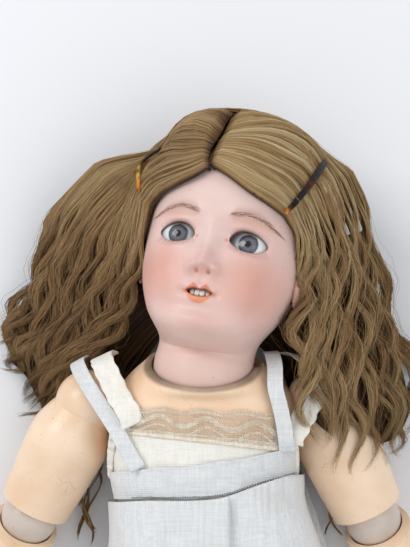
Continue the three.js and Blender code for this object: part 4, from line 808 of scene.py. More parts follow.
def hair_paths(side, number, seed, clumps=26, stray=0.0):
    """Hairs from the parting over the crown and down the fall of one side."""
    dice = np.random.default_rng(seed)
    set_of_clump = np.random.default_rng(5 + side)
    phase, long, lean, warm = (set_of_clump.uniform(0, 1, clumps) for _ in range(4))
    combed = np.array([[way_to_pixel(*p) for p in line] for line in COMBED[side]])
    fall_table = np.array([[under_pixel(*p) for p in line] for line in FALLS[side]])
    e = dice.uniform(0, 1, number)
    clump = np.clip((e * clumps + dice.normal(0, 0.25, number)).astype(int), 0, clumps - 1)
    centre = ((clump + 0.5) / clumps)[:, None]
    off = np.clip((e[:, None] - centre) * clumps * 2, -1.4, 1.4)
    depth = dice.uniform(0, 1, number)[:, None] ** 1.4
    s = np.broadcast_to(np.linspace(0, 1, 13), (number, 13))
    top_e = np.clip(e[:, None] + 0.018 * np.sin(9 * s + 6.3 * phase[clump][:, None]) * s, 0, 1)
    way = across_lines(combed, top_e, s)
    ridges = 0.9 * np.sin(6.3 * phase[clump])[:, None] * ease(s, 0.1, 0.5) - 0.8 * off**2 * ease(s, 0.2, 0.8)
    lift = ridges - 4.5 * depth - 2.4 * (1 - ease(s, 0, 0.09)) + dice.normal(0, 0.25, number)[:, None]
    edge_hair = 1 - ease(e[:, None], 0, 0.07)
    lift = lift - 1.5 * edge_hair
    top = from_head(on_dome(way, lift + stray * dice.uniform(0, 3, number)[:, None] * s))
    reach_of = (0.8 + 0.2 * long[clump])[:, None] * dice.uniform(0.84, 1.0, number)[:, None]
    v = np.linspace(0, 1, 25)[None, 1:] * reach_of
    draw = 0.75 * ease(v, 0.12, 0.62)
    across = e[:, None] * (1 - draw) + (centre + 0.02 * np.sin(9 * v + 6.3 * phase[clump][:, None])) * draw
    fall = across_lines(fall_table, np.clip(across, 0, 1), v)
    run = np.gradient(fall, axis=1)
    run /= np.linalg.norm(run, axis=2, keepdims=True) + 1e-9
    aside = np.stack([run[..., 1], -run[..., 0], 0 * run[..., 0]], -1)
    grow = ease(v, 0.03, 0.45)
    turn = 2 * math.pi * (2.6 + 0.9 * lean[clump][:, None]) * v + 6.3 * phase[clump][:, None]
    wave = grow * (4.4 + 2.6 * lean[clump][:, None]) * np.sin(turn)
    loose = grow * dice.normal(0, 1.0 + 3 * stray, number)[:, None]
    frizz = grow * 1.15 * np.sin(dice.uniform(30, 60, number)[:, None] * v
        + dice.uniform(0, 6.3, number)[:, None])
    fall = fall + aside * (wave + loose + frizz + 1.3 * off * (1 - 0.4 * grow))[..., None]
    curl = ease(v, 0.78, 1.0) ** 2
    fall = fall + (aside * np.sign(np.sin(9 * phase[clump]))[:, None, None] * 5 - run * 6) * curl[..., None]
    under = np.clip(fall[..., 2] * 0.34, 1.5, 15) * depth * (1 - 0.3 * draw)
    fall[..., 2] += 2.6 * grow * np.cos(turn) - under - 1.6 * off**2 + stray * dice.uniform(0, 6, number)[:,
        None]
    gap = top[:, -1:] - fall[:, :1]
    top = top - gap * (0.8 * ease(s, 0.6, 1) * ease(e[:, None], 0.35, 0.8))[..., None]
    gap = top[:, -1:] - fall[:, :1]
    paths = np.concatenate([top, fall + gap * (1 - ease(v, 0, 0.25))[..., None]], 1)
    u = np.linspace(0, 1, paths.shape[1])[None]
    half = np.clip(np.minimum(u * 16 + 0.4, (1 - u) * 6 + 0.1), 0, 1) * dice.uniform(0.16, 0.29, number)[:,
        None]
    # Tone of each hair: random by hair and by clump, with painted shade where it lies deep, at the edges of
    # each clump and at the roots along the parting; lighter over the crown than down the fall, lighter at the
    # ends of some curls, and the doll's left side a little lighter than its right
    shade = 0.68 - 0.46 * depth + dice.normal(0, 0.075, number)[:, None] + 0.26 * (warm[clump] - 0.5)[:, None]
    shade = shade - 0.17 * np.abs(off) - 0.16 * ease(u, 0.38, 0.7) + 0.12 * ease(u, 0.8,
        0.95) * (lean[clump] > 0.5)[:, None]
    shade = shade - 0.34 * (1 - ease(u, 0, 0.035)) + (0.07 if side > 0 else -0.03)
    return paths, np.broadcast_to(half, paths.shape[:2]), np.clip(shade, 0, 1)


NODES = {
    -1: ["hair_crown_right", "hair_lock_right_1", "hair_lock_right_2"],
    1: ["hair_crown_left", "hair_lock_left_1", "hair_lock_left_2", "hair_lock_left_3"],
}
for side in (-1, 1):
    owner = "left" if side > 0 else "right"
    for k in range(4):
        made = strands(f"combed_hair_{owner}_{k + 1}", *hair_paths(side, 860, 40 + 10 * side + k), hair_fibre)
        if k == 0:
            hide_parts(*NODES[side])
    paths, half, shade = hair_paths(side, 330, 90 + side, stray=1.0)
    strands(f"stray_hair_{owner}", paths, half * 0.4, np.clip(shade + 0.1, 0, 1), hair_fibre)


# The deep hair: masses under the combed strands that close the wig to the ground, coloured dark brown to near
# black as painted shade
def shaded_hair_mass(name, table, top, deep, code_low, code_high, replaced, until=0.86):
    e, v = np.meshgrid(np.linspace(0.1, 0.9, 40), np.linspace(0.2, until, 44), indexing="xy")
    upper = across_lines(table, e, v)
    arch = np.sqrt(np.clip(1 - (2 * e - 1) ** 2, 0, 1)) * 0.85 + 0.15
    taper = (1 - ease(v, until * 0.7, until) * 0.8) * (0.15 + 0.85 * ease(v, 0.2, 0.36))
    thick = np.clip(upper[..., 2] - 2, 1, deep)
    ridge = 1.3 * np.sin(52 * e + 6 * v) + 0.7 * np.sin(97 * e - 9 * v)
    upper[..., 2] -= top * (1.8 - 0.8 * arch) + 6 * (1 - ease(v, 0.2, 0.36)) - ridge * taper * 0.6
    lower = upper.copy()
    lower[..., 2] -= thick * arch * taper + 0.8
    upper[..., 2] = np.maximum(upper[..., 2], 1.4)
    lower[..., 2] = np.clip(lower[..., 2], 0.6, upper[..., 2] - 0.6)
    rings = np.concatenate([upper, lower[:, ::-1]], 1)
    base = 43 * 80
    ends = [[39 - j, 38 - j, 41 + j, 40 + j] for j in range(39)]
    ends += [[base + 38 - j, base + 39 - j, base + 40 + j, base + 41 + j] for j in range(39)]
    made = mesh_piece(name, rings.reshape(-1, 3), [quads_of(44, 80), np.array(ends)])
    fill, tree, bsdf = new_material(name + "_fibres", Roughness=0.7, Specular_IOR_Level=0.15)
    place = add(tree, "ShaderNodeTexCoord").outputs["Object"]
    long_way = add(tree, "ShaderNodeMapping", {"Vector": place, "Scale": (3.0, 0.4, 1.0)}).outputs["Vector"]
    fibre = add(tree, "ShaderNodeTexNoise",
        {"Vector": long_way, "Scale": 260.0, "Detail": 6.0}).outputs["Fac"]
    tree.links.new(ramp(tree, fibre, (0.32, code_low), (0.68, code_high)), bsdf.inputs["Base Color"])
    nap = add(tree, "ShaderNodeBump", {"Strength": 0.6, "Distance": 0.0006, "Height": fibre})
    tree.links.new(nap.outputs["Normal"], bsdf.inputs["Normal"])
    made.data.materials.append(fill)
    if replaced:
        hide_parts(*replaced)
    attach(made, "head")


for side in (-1, 1):
    owner = "left" if side > 0 else "right"
    fall_table = np.array([[under_pixel(*p) for p in line] for line in FALLS[side]])
    under_table = np.array([[under_pixel(*p) for p in line] for line in UNDER[side]])
    # Both masses are coloured dark as painted shade under the strands, the lower one nearly black
    shaded_hair_mass(f"hair_mass_{owner}", fall_table, 6.5, 24, "#1d130c", "#432c1a", [])
    low = [f"hair_lock_{owner}_{4 if side > 0 else 3}"]
    shaded_hair_mass(f"under_hair_{owner}", under_table, 2.5, 16, "#0c0806", "#1d140e", low, 0.8)
    dice = np.random.default_rng(70 + side)
    number = 1300
    e = dice.uniform(0, 1, number)
    v = np.linspace(0, 1, 26)[None] * dice.uniform(0.82, 1, number)[:, None]
    clump = np.floor(e * 9)[:, None]
    draw = 0.65 * ease(v, 0.2, 0.9)
    across = e[:, None] * (1 - draw) + (clump + 0.5) / 9 * draw
    paths = across_lines(under_table, across, v)
    turn = 24 * v + clump * 2
    paths[..., 2] += dice.uniform(-3, 1.5, number)[:, None] + 2.5 * ease(v, 0.3, 0.8) * (1 + np.cos(turn))
    paths[..., 0] += 4.5 * ease(v, 0.2, 0.8) * np.sin(turn)
    # Tone of the under-hair: dark as painted shade beneath the fall, lighter toward their ends
    shade = 0.12 + 0.3 * ease(v, 0.5, 0.85) + dice.normal(0, 0.08, number)[:, None] + 0.08 * np.sin(clump * 3)
    half = 0.26 * np.clip((1 - v) * 9 + 0.2, 0, 1)
    strands(f"under_strands_{owner}", paths, half, np.clip(shade, 0, 1), hair_fibre)

# Hair that lies over the back of the head and nape, pressed flat by its weight
dice = np.random.default_rng(8)
for side in (-1, 1):
    owner = "left" if side > 0 else "right"
    number = 1500
    back = dice.uniform(0, 1, number)
    start = 0.3 - 2.1 * back
    root = np.stack([side * 0.02 + 0.1 * np.ones(number), np.cos(start + 0.2), np.sin(start + 0.2)], -1)
    w = dice.uniform(0.35, 1.0, number)
    end = np.stack([side * (0.95 - 0.35 * w), -0.35 - 0.5 * back, -0.1 - 0.8 * back * w], -1)
    root /= np.linalg.norm(root, axis=1, keepdims=True)
    end /= np.linalg.norm(end, axis=1, keepdims=True)
    omega = np.arccos(np.clip((root * end).sum(1), -1, 1))[:, None, None]
    s = np.linspace(0, 1, 22)[None, :, None]
    way = (np.sin((1 - s) * omega) * root[:, None] + np.sin(s * omega) * end[:, None]) / np.sin(omega)
    lift = -2.0 * dice.uniform(0, 1, number)[:,
        None] + 0.5 * np.sin(20 * s[..., 0] + back[:, None] * 40) - 0.3
    paths = from_head(on_dome(way, lift))
    paths[..., 2] = np.maximum(paths[..., 2], 0.9)
    shade = 0.42 + dice.normal(0, 0.09, number)[:, None] + 0.1 * np.sin(back * 60)[:, None] + 0 * s[..., 0]
    half = np.broadcast_to(np.array([0.34]), paths.shape[:2])
    strands(f"back_hair_{owner}", paths, half, np.clip(shade, 0, 1), hair_fibre)

# Crown under the strands: the dense pressed hair itself, cut to the hairline of the face, coloured dark brown
# as painted shade
cap_t, cap_a = np.meshgrid(np.linspace(6.5, 20, 150), np.linspace(-math.pi, math.pi, 260, endpoint=False),
    indexing="ij")
cap_depth = hair_thickness(cap_t, cap_a)
cap_out = moved_out(HEAD_ROWS, cap_t, cap_a, CAP + cap_depth * 0.42)
cap_world = from_head(cap_out)
sight = np.array(camera.rotation_euler.to_matrix())
seen = (cap_world - np.array(camera.location) / mm) @ sight
seen_x = PIXELS_WIDE / 2 - seen[..., 0] / seen[..., 2] * camera.data.lens * PIXELS_HIGH / SENSOR
seen_y = PIXELS_HIGH / 2 + seen[..., 1] / seen[..., 2] * camera.data.lens * PIXELS_HIGH / SENSOR
HAIRLINE = np.array(
    [(120, 330), (134, 300), (133, 262), (134, 236), (138, 214), (147, 199), (160, 189), (176, 181),
        (192, 173)]
    + [(209, 163), (228, 173), (250, 191), (268, 202), (284, 211), (296, 224), (300, 250), (296, 284),
        (290, 302), (296, 330)],
    float,
)
hair_y = np.interp(seen_x, HAIRLINE[3:16, 0], HAIRLINE[3:16, 1])
in_face = (seen_x > 136) & (seen_x < 299) & (seen_y > hair_y) & (seen_y < 400) & (cap_out[..., 2] > 4)
front_low = (cap_out[..., 1] < -24) & (cap_out[..., 2] > 2) | (cap_out[..., 1] < 22) & (cap_out[...,
    2] > 4) | (cap_out[..., 1] < 12) & (cap_out[..., 2] > -14) | (cap_out[..., 1] < 0) & (cap_out[...,
    2] > -36)
keep = (~in_face & ~front_low & (cap_world[..., 2] > 0.8)).reshape(-1)
cap_quads = quads_of(150, 260)
cap_quads = cap_quads[keep[cap_quads].all(1)]
cap_end = np.array([[cap_out.size // 3 - 260 + j, cap_out.size // 3 - 260 + (j + 1) % 260,
    cap_out.size // 3] for j in range(260)])
cap_points = np.concatenate([cap_world.reshape(-1, 3), cap_world[-1].mean(0)[None]])
cap = mesh_piece("crown_hair", cap_points, [cap_quads, cap_end])
shell = cap.modifiers.new("thickness", "SOLIDIFY")
shell.thickness = 0.0025
shell.offset = -1
bpy.context.view_layer.objects.active = cap
bpy.ops.object.modifier_apply(modifier="thickness")
# Dark brown: painted shade under the combed strands
crown_fill, tree, bsdf = new_material("crown_hair_fibres", Roughness=0.7, Specular_IOR_Level=0.15)
grained(tree, bsdf, (0.3, "#2e2015"), (0.7, "#5d4328"), Scale=420.0, Detail=6.0)
cap.data.materials.append(crown_fill)
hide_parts("wig_cap")
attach(cap, "head")

# Hair slides: two slim curved bars of tortoiseshell that grip the hair at the temples, one
# amber at its lower half, the other nearly black, each with an orange end
for name, line, turn_over in (
    ("right_barrette", [(149.5, 132), (147, 143), (144.5, 155), (142, 168), (140.5, 181), (141, 195)], 0),
    ("left_barrette", [(325, 161), (318, 171), (310.5, 182), (302, 193), (293, 204), (284, 214)], 1),
):
    ways = np.array([way_to_pixel(*p) for p in line])
    fine = along(ways, np.linspace(0, 5, 46))
    arch = np.sin(np.linspace(0, math.pi, 46))
    spine = on_dome(fine, 1.1 + 1.0 * arch)
    run = np.gradient(spine, axis=0)
    run /= np.linalg.norm(run, axis=1, keepdims=True)
    up = fine / np.linalg.norm(fine, axis=1, keepdims=True)
    wide = np.cross(run, up)
    wide /= np.linalg.norm(wide, axis=1, keepdims=True)
    tall = np.cross(wide, run)
    share = np.linspace(0, 1, 46)
    end_round = np.sqrt(np.clip(1 - np.abs(2 * share - 1) ** 9, 0.02, 1))
    a = np.linspace(0, 2 * math.pi, 20, endpoint=False)
    c, s = np.cos(a), np.sin(a)
    flat_c, flat_s = np.sign(c) * np.abs(c) ** 0.7, np.sign(s) * np.abs(s) ** 0.8
    half = 2.0 * end_round * (1 + 0.12 * np.sin(5 * share))
    rings = spine[:, None] + wide[:, None] * (half[:, None] * flat_c)[..., None] + tall[:,
        None] * (1.0 * end_round[:, None] * flat_s)[..., None]
    points = rings.reshape(-1, 3)
    number = len(points)
    caps = np.stack([(np.arange(20) + 1) % 20, np.arange(20), np.full(20, number)], -1)
    caps2 = np.stack([np.arange(20) + number - 20, (np.arange(20) + 1) % 20 + number - 20,
        np.full(20, number + 1)], -1)
    points = np.concatenate([points, rings[0].mean(0)[None], rings[-1].mean(0)[None]])
    slide = mesh_piece(name + "_bar", from_head(points), [quads_of(46, 20), caps, caps2])
    ahead = np.concatenate([np.repeat(share, 20), [0, 1]])
    layer = slide.data.attributes.new("ahead", "FLOAT", "POINT")
    layer.data.foreach_set("value", ahead.astype(np.float32))
    # Tortoiseshell: clear amber with brown to black clouds, polished
    shell_look, tree, bsdf = new_material(name + "_tortoiseshell", Roughness=0.3, Specular_IOR_Level=0.2,
        IOR=1.45)
    bsdf.inputs["Coat Weight"].default_value = 0.1
    place = add(tree, "ShaderNodeTexCoord").outputs["Object"]
    cloud = add(tree, "ShaderNodeTexNoise", {"Vector": place, "Scale": 230.0, "Detail": 3.0}).outputs["Fac"]
    ahead_of = add(tree, "ShaderNodeAttribute", attribute_name="ahead").outputs["Fac"]
    if turn_over:
        base = ramp(tree, ahead_of, (0.0, "#2a2320"), (0.3, "#1c1614"), (0.5, "#5b1d0e"), (0.62, "#17120f"),
            (0.86, "#1f1310"), (0.93, "#d07a2a"), (1.0, "#e08d3a"))
        dark = ramp(tree, cloud, (0.42, "#0d0a09"), (0.6, "#ffffff"))
    else:
        base = ramp(tree, ahead_of, (0.0, "#3a2f26"), (0.24, "#2a201a"), (0.5, "#3b2317"),
            (0.58, "#a8873a"), (0.78, "#c9a23c"), (0.86, "#d98324"), (1.0, "#8e3d18"))
        dark = ramp(tree, cloud, (0.36, "#1a120d"), (0.5, "#ffffff"))
    inputs = {"Factor": 0.8, "A": base, "B": dark}
    mixed = add(tree, "ShaderNodeMix", inputs, data_type="RGBA", blend_type="MULTIPLY")
    tree.links.new(mixed.outputs["Result"], bsdf.inputs["Base Color"])
    slide.data.materials.append(shell_look)
    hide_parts(name)
    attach(slide, "head")

# Ears: pressed in the mould with a pierced lobe, mostly under the hair
for side in (-1, 1):
    owner = "left" if side > 0 else "right"
    bpy.ops.object.select_all(action="DESELECT")
    bpy.ops.mesh.primitive_uv_sphere_add(segments=64, ring_count=48, radius=1)
    ear = bpy.context.object
    ear.name = f"{owner}_ear"
    p = points_of(ear)
    y, z = p[:, 1], p[:, 2]
    rim = np.hypot(y, z)
    hollow = 0.62 * bump((rim - 0.32) / 0.3) + 0.25 * bump((np.hypot(y - 0.1, z - 0.12) - 0.05) / 0.25)
    thin = np.where(p[:, 0] * side > 0, 1 - hollow, 0.5)
    narrow = 1 - 0.45 * ease(-y, 0.2, 1.0)
    ear_points = np.stack([p[:, 0] * 5.6 * thin * (1 - 0.2 * rim), y * 15.5, z * 8.6 * narrow - 2.0 * y], -1)
    ear_points += [side * 48.6, -9.5, -3]
    hole = np.hypot(ear_points[:, 1] + 20.0, ear_points[:, 2] + 2.0)
    ear_points[:, 0] -= side * 1.2 * bump(hole / 0.9)
    set_in_head(ear, ear_points)
    bpy.ops.object.shade_smooth()
    # The pierced hole is coloured dark brown: painted shade in the hole
    paint = np.broadcast_to(np.array(linear("#e2b3a5")[:3]), p.shape).copy()
    paint = paint * (1 - 0.8 * bump(hole / 0.8))[:,
        None] + np.array(linear("#5a3a30")[:3]) * (0.8 * bump(hole / 0.8))[:, None]
    coat(ear, paint)
    ear.data.materials.append(bisque)
    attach(ear, "head")

# Body: pulp composition pressed in halves, glued, sanded and enamelled in warm flesh
# colour. The neck opening slopes to the front; its rim and the inside of the neck cup are dark grey-brown.
def turned_x(d):
    c, s = math.cos(math.radians(d)), math.sin(math.radians(d))
    return np.array([[1, 0, 0], [0, c, -s], [0, s, c]])


def turned_y(d):
    c, s = math.cos(math.radians(d)), math.sin(math.radians(d))
    return np.array([[c, 0, s], [0, 1, 0], [-s, 0, c]])


def turned_z(d):
    c, s = math.cos(math.radians(d)), math.sin(math.radians(d))
    return np.array([[c, -s, 0], [s, c, 0], [0, 0, 1]])


def ball_of(name, radius, centre, around=64, up=40):
    """A ball as a closed mesh, its centre in mm."""
    bpy.ops.object.select_all(action="DESELECT")
    bpy.ops.mesh.primitive_uv_sphere_add(segments=around, ring_count=up, radius=radius * mm,
        location=Vector(centre) * mm)
    bpy.ops.object.transform_apply(location=True, rotation=True, scale=True)
    made = bpy.context.object
    made.name = name
    bpy.ops.object.shade_smooth()
    return made


def carve(target, tool, operation="DIFFERENCE"):
    """Cuts or joins one closed piece with another, which is used up."""
    step = target.modifiers.new("carve", "BOOLEAN")
    step.object = tool
    step.operation = operation
    step.solver = "EXACT"
    bpy.ops.object.select_all(action="DESELECT")
    bpy.context.view_layer.objects.active = target
    bpy.ops.object.modifier_apply(modifier="carve")
    bpy.data.objects.remove(tool)


def outward(made):
    """Turns a closed mesh's faces out."""
    only(made)
    bpy.ops.object.mode_set(mode="EDIT")
    bpy.ops.mesh.select_all(action="SELECT")
    bpy.ops.mesh.normals_make_consistent(inside=False)
    bpy.ops.object.mode_set(mode="OBJECT")
    return made


def closed_rings(name, rings):
    """A closed piece over rings of equal count, capped at both ends."""
    rows, count = rings.shape[:2]
    points = rings.reshape(-1, 3)
    first, last = len(points), len(points) + 1
    points = np.concatenate([points, rings[0].mean(0)[None], rings[-1].mean(0)[None]])
    j = np.arange(count)
    k = (j + 1) % count
    low = np.stack([k, j, np.full(count, first)], -1)
    high = np.stack([j + (rows - 1) * count, k + (rows - 1) * count, np.full(count, last)], -1)
    made = mesh_piece(name, points, [quads_of(rows, count), low, high])
    return outward(made)


RIM = [NECK[1] + 4 * math.cos(math.radians(30)), NECK[2] + 4 * math.sin(math.radians(30))]
LEAN = math.tan(math.radians(30))
OUT, FRONT = 34.1, 34.1 * math.cos(math.radians(30))
WIDE = 57.5 / 59
TORSO_ROWS = np.array(
    [
        [RIM[0] - down, lean, half, middle, ahead, middle - bottom, square]
        for down, lean, half, middle, ahead, bottom, square in (
            (0, LEAN, OUT, RIM[1], FRONT, RIM[1] - FRONT, 2),
            (3.5, 0.92 * LEAN, OUT + 4.5, RIM[1] - 1, FRONT + 1.5, 32, 2),
            (11, 0.72 * LEAN, 49 * WIDE, 60, 31, 21, 2.2),
            (21, 0.5 * LEAN, 57 * WIDE, 56, 34, 12, 2.2),
            (33, 0.3 * LEAN, 59 * WIDE, 53, 37, 9, 2.2),
            (50, 0.13 * LEAN, 57 * WIDE, 50, 39, 8, 2.2),
            (73, 0.02, 53, 48, 39.5, 7.5, 2.2),
            (98, 0, 48.5, 46, 38, 6, 2.2),
            (122, 0, 51, 45, 39.5, 4.2, 2.2),
            (142, 0, 57, 45, 39, 2.6, 2.2),
            (164, 0, 61, 45, 36, 2, 2.2),
            (183, 0, 58, 44, 31, 2.4, 2.2),
            (197, 0, 47, 43, 23, 5, 2.2),
            (206, 0, 28, 42, 13, 18, 2),
        )
    ]
)
body_t, body_a = np.meshgrid(np.linspace(0, 13, 131), np.linspace(-math.pi, math.pi, 160, endpoint=False),
    indexing="ij")
torso = closed_rings("composition_torso", rounded(TORSO_ROWS, body_t, body_a))
inner_t, inner_a = np.meshgrid(np.linspace(1, 12, 45), np.linspace(-math.pi, math.pi, 60, endpoint=False),
    indexing="ij")
hollow = closed_rings("hollow", moved_out(TORSO_ROWS, inner_t, inner_a, np.full(inner_t.shape, -4.5)))
NECK_CUP = 31.8
SHOULDER, HIP = (71.5, 127, 48), (35, -25, 45)


def sided(side, place):
    """A place of the left side, or its mirror image."""
    return (side * place[0], place[1], place[2])


cups = [(NECK_CUP, (0, 146.7, 64))]
for side in (-1, 1):
    cups += [(21.4, sided(side, SHOULDER)), (24.9, sided(side, HIP))]
for radius, centre in cups:
    carve(hollow, ball_of("cup_wall", radius + 4.5, centre, 32, 20))
carve(torso, hollow)
for radius, centre in cups:
    carve(torso, ball_of("cup", radius, centre, 96, 64))


def rod(name, radius, centre, length, turn, around=48):
    """A closed round rod, by its middle in mm and the turn of its own Z."""
    bpy.ops.object.select_all(action="DESELECT")
    bpy.ops.mesh.primitive_cylinder_add(vertices=around, radius=radius * mm, depth=length * mm)
    made = bpy.context.object
    made.name = name
    points = points_of(made) @ turn.T + np.array(centre) * mm
    made.data.vertices.foreach_set("co", points.ravel())
    return made


carve(torso, rod("neck_bore", 17, (0, 112.7, 64), 40, turned_x(90)))
carve(torso, rod("arm_bore", 9, (0, 124, 47), 143, turned_y(90)))
for side in (-1, 1):
    lean = turned_z(side * 12) @ turned_x(90)
    bore = np.array(sided(side, HIP)) + turned_z(side * 12) @ np.array([0, 26, 0])
    carve(torso, rod("leg_bore", 8, bore, 40, lean))
    # Room for the thigh from straight to sitting
    r = 30.0
    outline = [(-r - 8, -70), (-r - 1, -14), (-25.5, -3), (0, 0), (9.4, r * 0.74), (r * 0.7, r * 0.84),
        (90, r * 0.72), (90, -70)]
    rings = np.array([[[side * 35 + x, -25 + b, 45 + a] for a, b in outline] for x in (-r, r)])
    carve(torso, closed_rings("thigh_room", rings))
# Room for the nape through the whole turn of the head
nape_t, nape_a = np.meshgrid(np.linspace(4, 11, 22), np.linspace(-math.pi, math.pi, 60, endpoint=False),
    indexing="ij")
nape = moved_out(HEAD_ROWS, nape_t, nape_a, np.full(nape_t.shape, 3.3))
room = bmesh.new()
for turn in (-60, -30, 0, 20, 40):
    posed = (nape - NECK_IN_HEAD) @ turned_y(turn).T + NECK_IN_HEAD
    for p in from_head(posed).reshape(-1, 3)[::2]:
        room.verts.new(Vector(p) * mm)
hull = bmesh.ops.convex_hull(room, input=room.verts)
loose = [g for g in hull["geom_interior"] + hull["geom_unused"] if isinstance(g, bmesh.types.BMVert)]
bmesh.ops.delete(room, geom=list(set(loose)), context="VERTS")
nape_room = bpy.data.objects.new("nape_room", bpy.data.meshes.new("nape_room"))
room.to_mesh(nape_room.data)
room.free()
bpy.context.scene.collection.objects.link(nape_room)
carve(torso, nape_room)
bpy.ops.object.select_all(action="DESELECT")
bpy.ops.mesh.primitive_cube_add(size=1, location=(0, 0, -0.05), scale=(1, 1, 0.1))
bpy.ops.object.transform_apply(location=True, rotation=True, scale=True)
carve(torso, bpy.context.object)
torso.data.polygons.foreach_set("use_smooth", [True] * len(torso.data.polygons))
only(torso)
bpy.ops.object.shade_smooth_by_angle(angle=math.radians(35))


def composition(name, light, shade, rim=None):
    """Enamelled composition: satin gloss, cloudy yellowing, hairline craze and specks of wear."""
    made, tree, bsdf = new_material(name, Roughness=0.33, Specular_IOR_Level=0.5, IOR=1.5)
    place = add(tree, "ShaderNodeTexCoord").outputs["Object"]
    cloud = add(tree, "ShaderNodeTexNoise", {"Vector": place, "Scale": 34.0, "Detail": 5.0}).outputs["Fac"]
    colour = ramp(tree, cloud, (0.34, shade), (0.66, light))
    cells = add(tree, "ShaderNodeTexVoronoi", {"Vector": place, "Scale": 120.0}, feature="DISTANCE_TO_EDGE")
    lines = ramp(tree, cells.outputs["Distance"], (0.0, "#b89775"), (0.02, "#ffffff"))
    where = add(tree, "ShaderNodeTexNoise", {"Vector": place, "Scale": 48.0, "Detail": 3.0}).outputs["Fac"]
    part = add(tree, "ShaderNodeMapRange",
        {"Value": where, "From Min": 0.56, "From Max": 0.68, "To Max": 0.5})
    inputs = {"Factor": part.outputs["Result"], "A": colour, "B": lines}
    crazed = add(tree, "ShaderNodeMix", inputs, data_type="RGBA", blend_type="MULTIPLY")
    dirt = add(tree, "ShaderNodeTexNoise", {"Vector": place, "Scale": 620.0, "Detail": 2.0}).outputs["Fac"]
    specks = ramp(tree, dirt, (0.24, "#8c6a4c"), (0.3, "#ffffff"))
    inputs = {"Factor": 0.55, "A": crazed.outputs["Result"], "B": specks}
    worn = add(tree, "ShaderNodeMix", inputs, data_type="RGBA", blend_type="MULTIPLY")
    result = worn.outputs["Result"]
    if rim:
        mask = add(tree, "ShaderNodeAttribute", attribute_name="rim").outputs["Fac"]
        # Dark grey-brown at the neck rim and inside the neck cup, where the rim mask says
        rim_colour = ramp(tree, cloud, (0.35, "#5f4f42"), (0.65, "#a08a73"))
        edge = add(tree, "ShaderNodeMix", {"Factor": mask, "A": result, "B": rim_colour}, data_type="RGBA")
        result = edge.outputs["Result"]
    tree.links.new(result, bsdf.inputs["Base Color"])
    wave = add(tree, "ShaderNodeTexNoise", {"Vector": place, "Scale": 90.0, "Detail": 3.0}).outputs["Fac"]
    dents = add(tree, "ShaderNodeBump", {"Strength": 0.25, "Distance": 0.0004, "Height": wave})
    tree.links.new(dents.outputs["Normal"], bsdf.inputs["Normal"])
    return made


body_enamel = composition("body_enamel", "#fadcbc", "#f4ceaa", rim=True)
torso.data.materials.append(body_enamel)
points = points_of(torso) / mm
# Mask for the dark neck rim: the sloped rim and the cup wall just below it
down_slope = (points - [0, RIM[0], RIM[1]]) @ np.array([0, math.cos(math.radians(30)),
    math.sin(math.radians(30))])
from_cup = np.abs(np.linalg.norm(points - [0, 146.7, 64], axis=1) - NECK_CUP)
mask = 0.85 * ease(down_slope, -2.6, -0.5) + (1 - ease(from_cup, 0.1, 0.9)) * ease(down_slope, -6, -1)
layer = torso.data.attributes.new("rim", "FLOAT", "POINT")
layer.data.foreach_set("value", np.clip(mask, 0, 1).astype(np.float32))
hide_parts("torso")
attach(torso, "torso")


def limb_rings(stations, around=56, fine=5):
    """Rings down a limb through [along, half x, half z, shift z, shift x] stations."""
    table = np.zeros((len(stations), 5))
    for row, station in zip(table, stations):
        row[0], row[1] = station[0], station[1]
        row[2] = station[2] if len(station) > 2 else station[1]
        row[3] = station[3] if len(station) > 3 else 0
        row[4] = station[4] if len(station) > 4 else 0
    t = np.linspace(0, len(table) - 1, (len(table) - 1) * fine + 1)
    rows = along(table, t)
    a = np.linspace(0, 2 * math.pi, around, endpoint=False)
    x = rows[:, 4, None] + rows[:, 1, None] * np.cos(a)
    z = rows[:, 3, None] + rows[:, 2, None] * np.sin(a)
    return np.stack([x, np.broadcast_to(-rows[:, :1], x.shape), z], -1)


def placed(made, turn, place):
    """Moves a mesh's points from a limb's own frame, in mm, into the doll's."""
    points = points_of(made) / mm
    made.data.vertices.foreach_set("co", ((points @ turn.T + place) * mm).ravel())
    made.data.update()
    return made


def rim_cut(down, tilt):
    """A block over the tilted plane of a limb's upper rim."""
    corners = np.array([[x, y, z] for y in (0, 120) for x,
        z in ((-60, -60), (60, -60), (60, 60), (-60, 60))], float)
    corners = (corners @ turned_x(tilt).T + [0, -down, 0]).reshape(2, 4, 3)
    return closed_rings("rim_cut", corners)


def finish_limb(made, turn, place, material, node, body, angle=35):
    placed(made, turn, place)
    only(made)
    bpy.ops.object.shade_smooth_by_angle(angle=math.radians(angle))
    made.data.materials.append(material)
    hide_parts(node)
    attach(made, body)


# Arms: turned upper arm and forearm cupped over a loose elbow ball, and a moulded hand with
# dimpled, slightly curved fingers. All enamelled like the body, a little paler.
ARM_SPREAD = {1: 26, -1: 28}


def arm_turn_of(side):
    """How an arm lies: out from the side, its hand lower than its shoulder."""
    return turned_z(side * ARM_SPREAD[side]) @ turned_x(16.6)


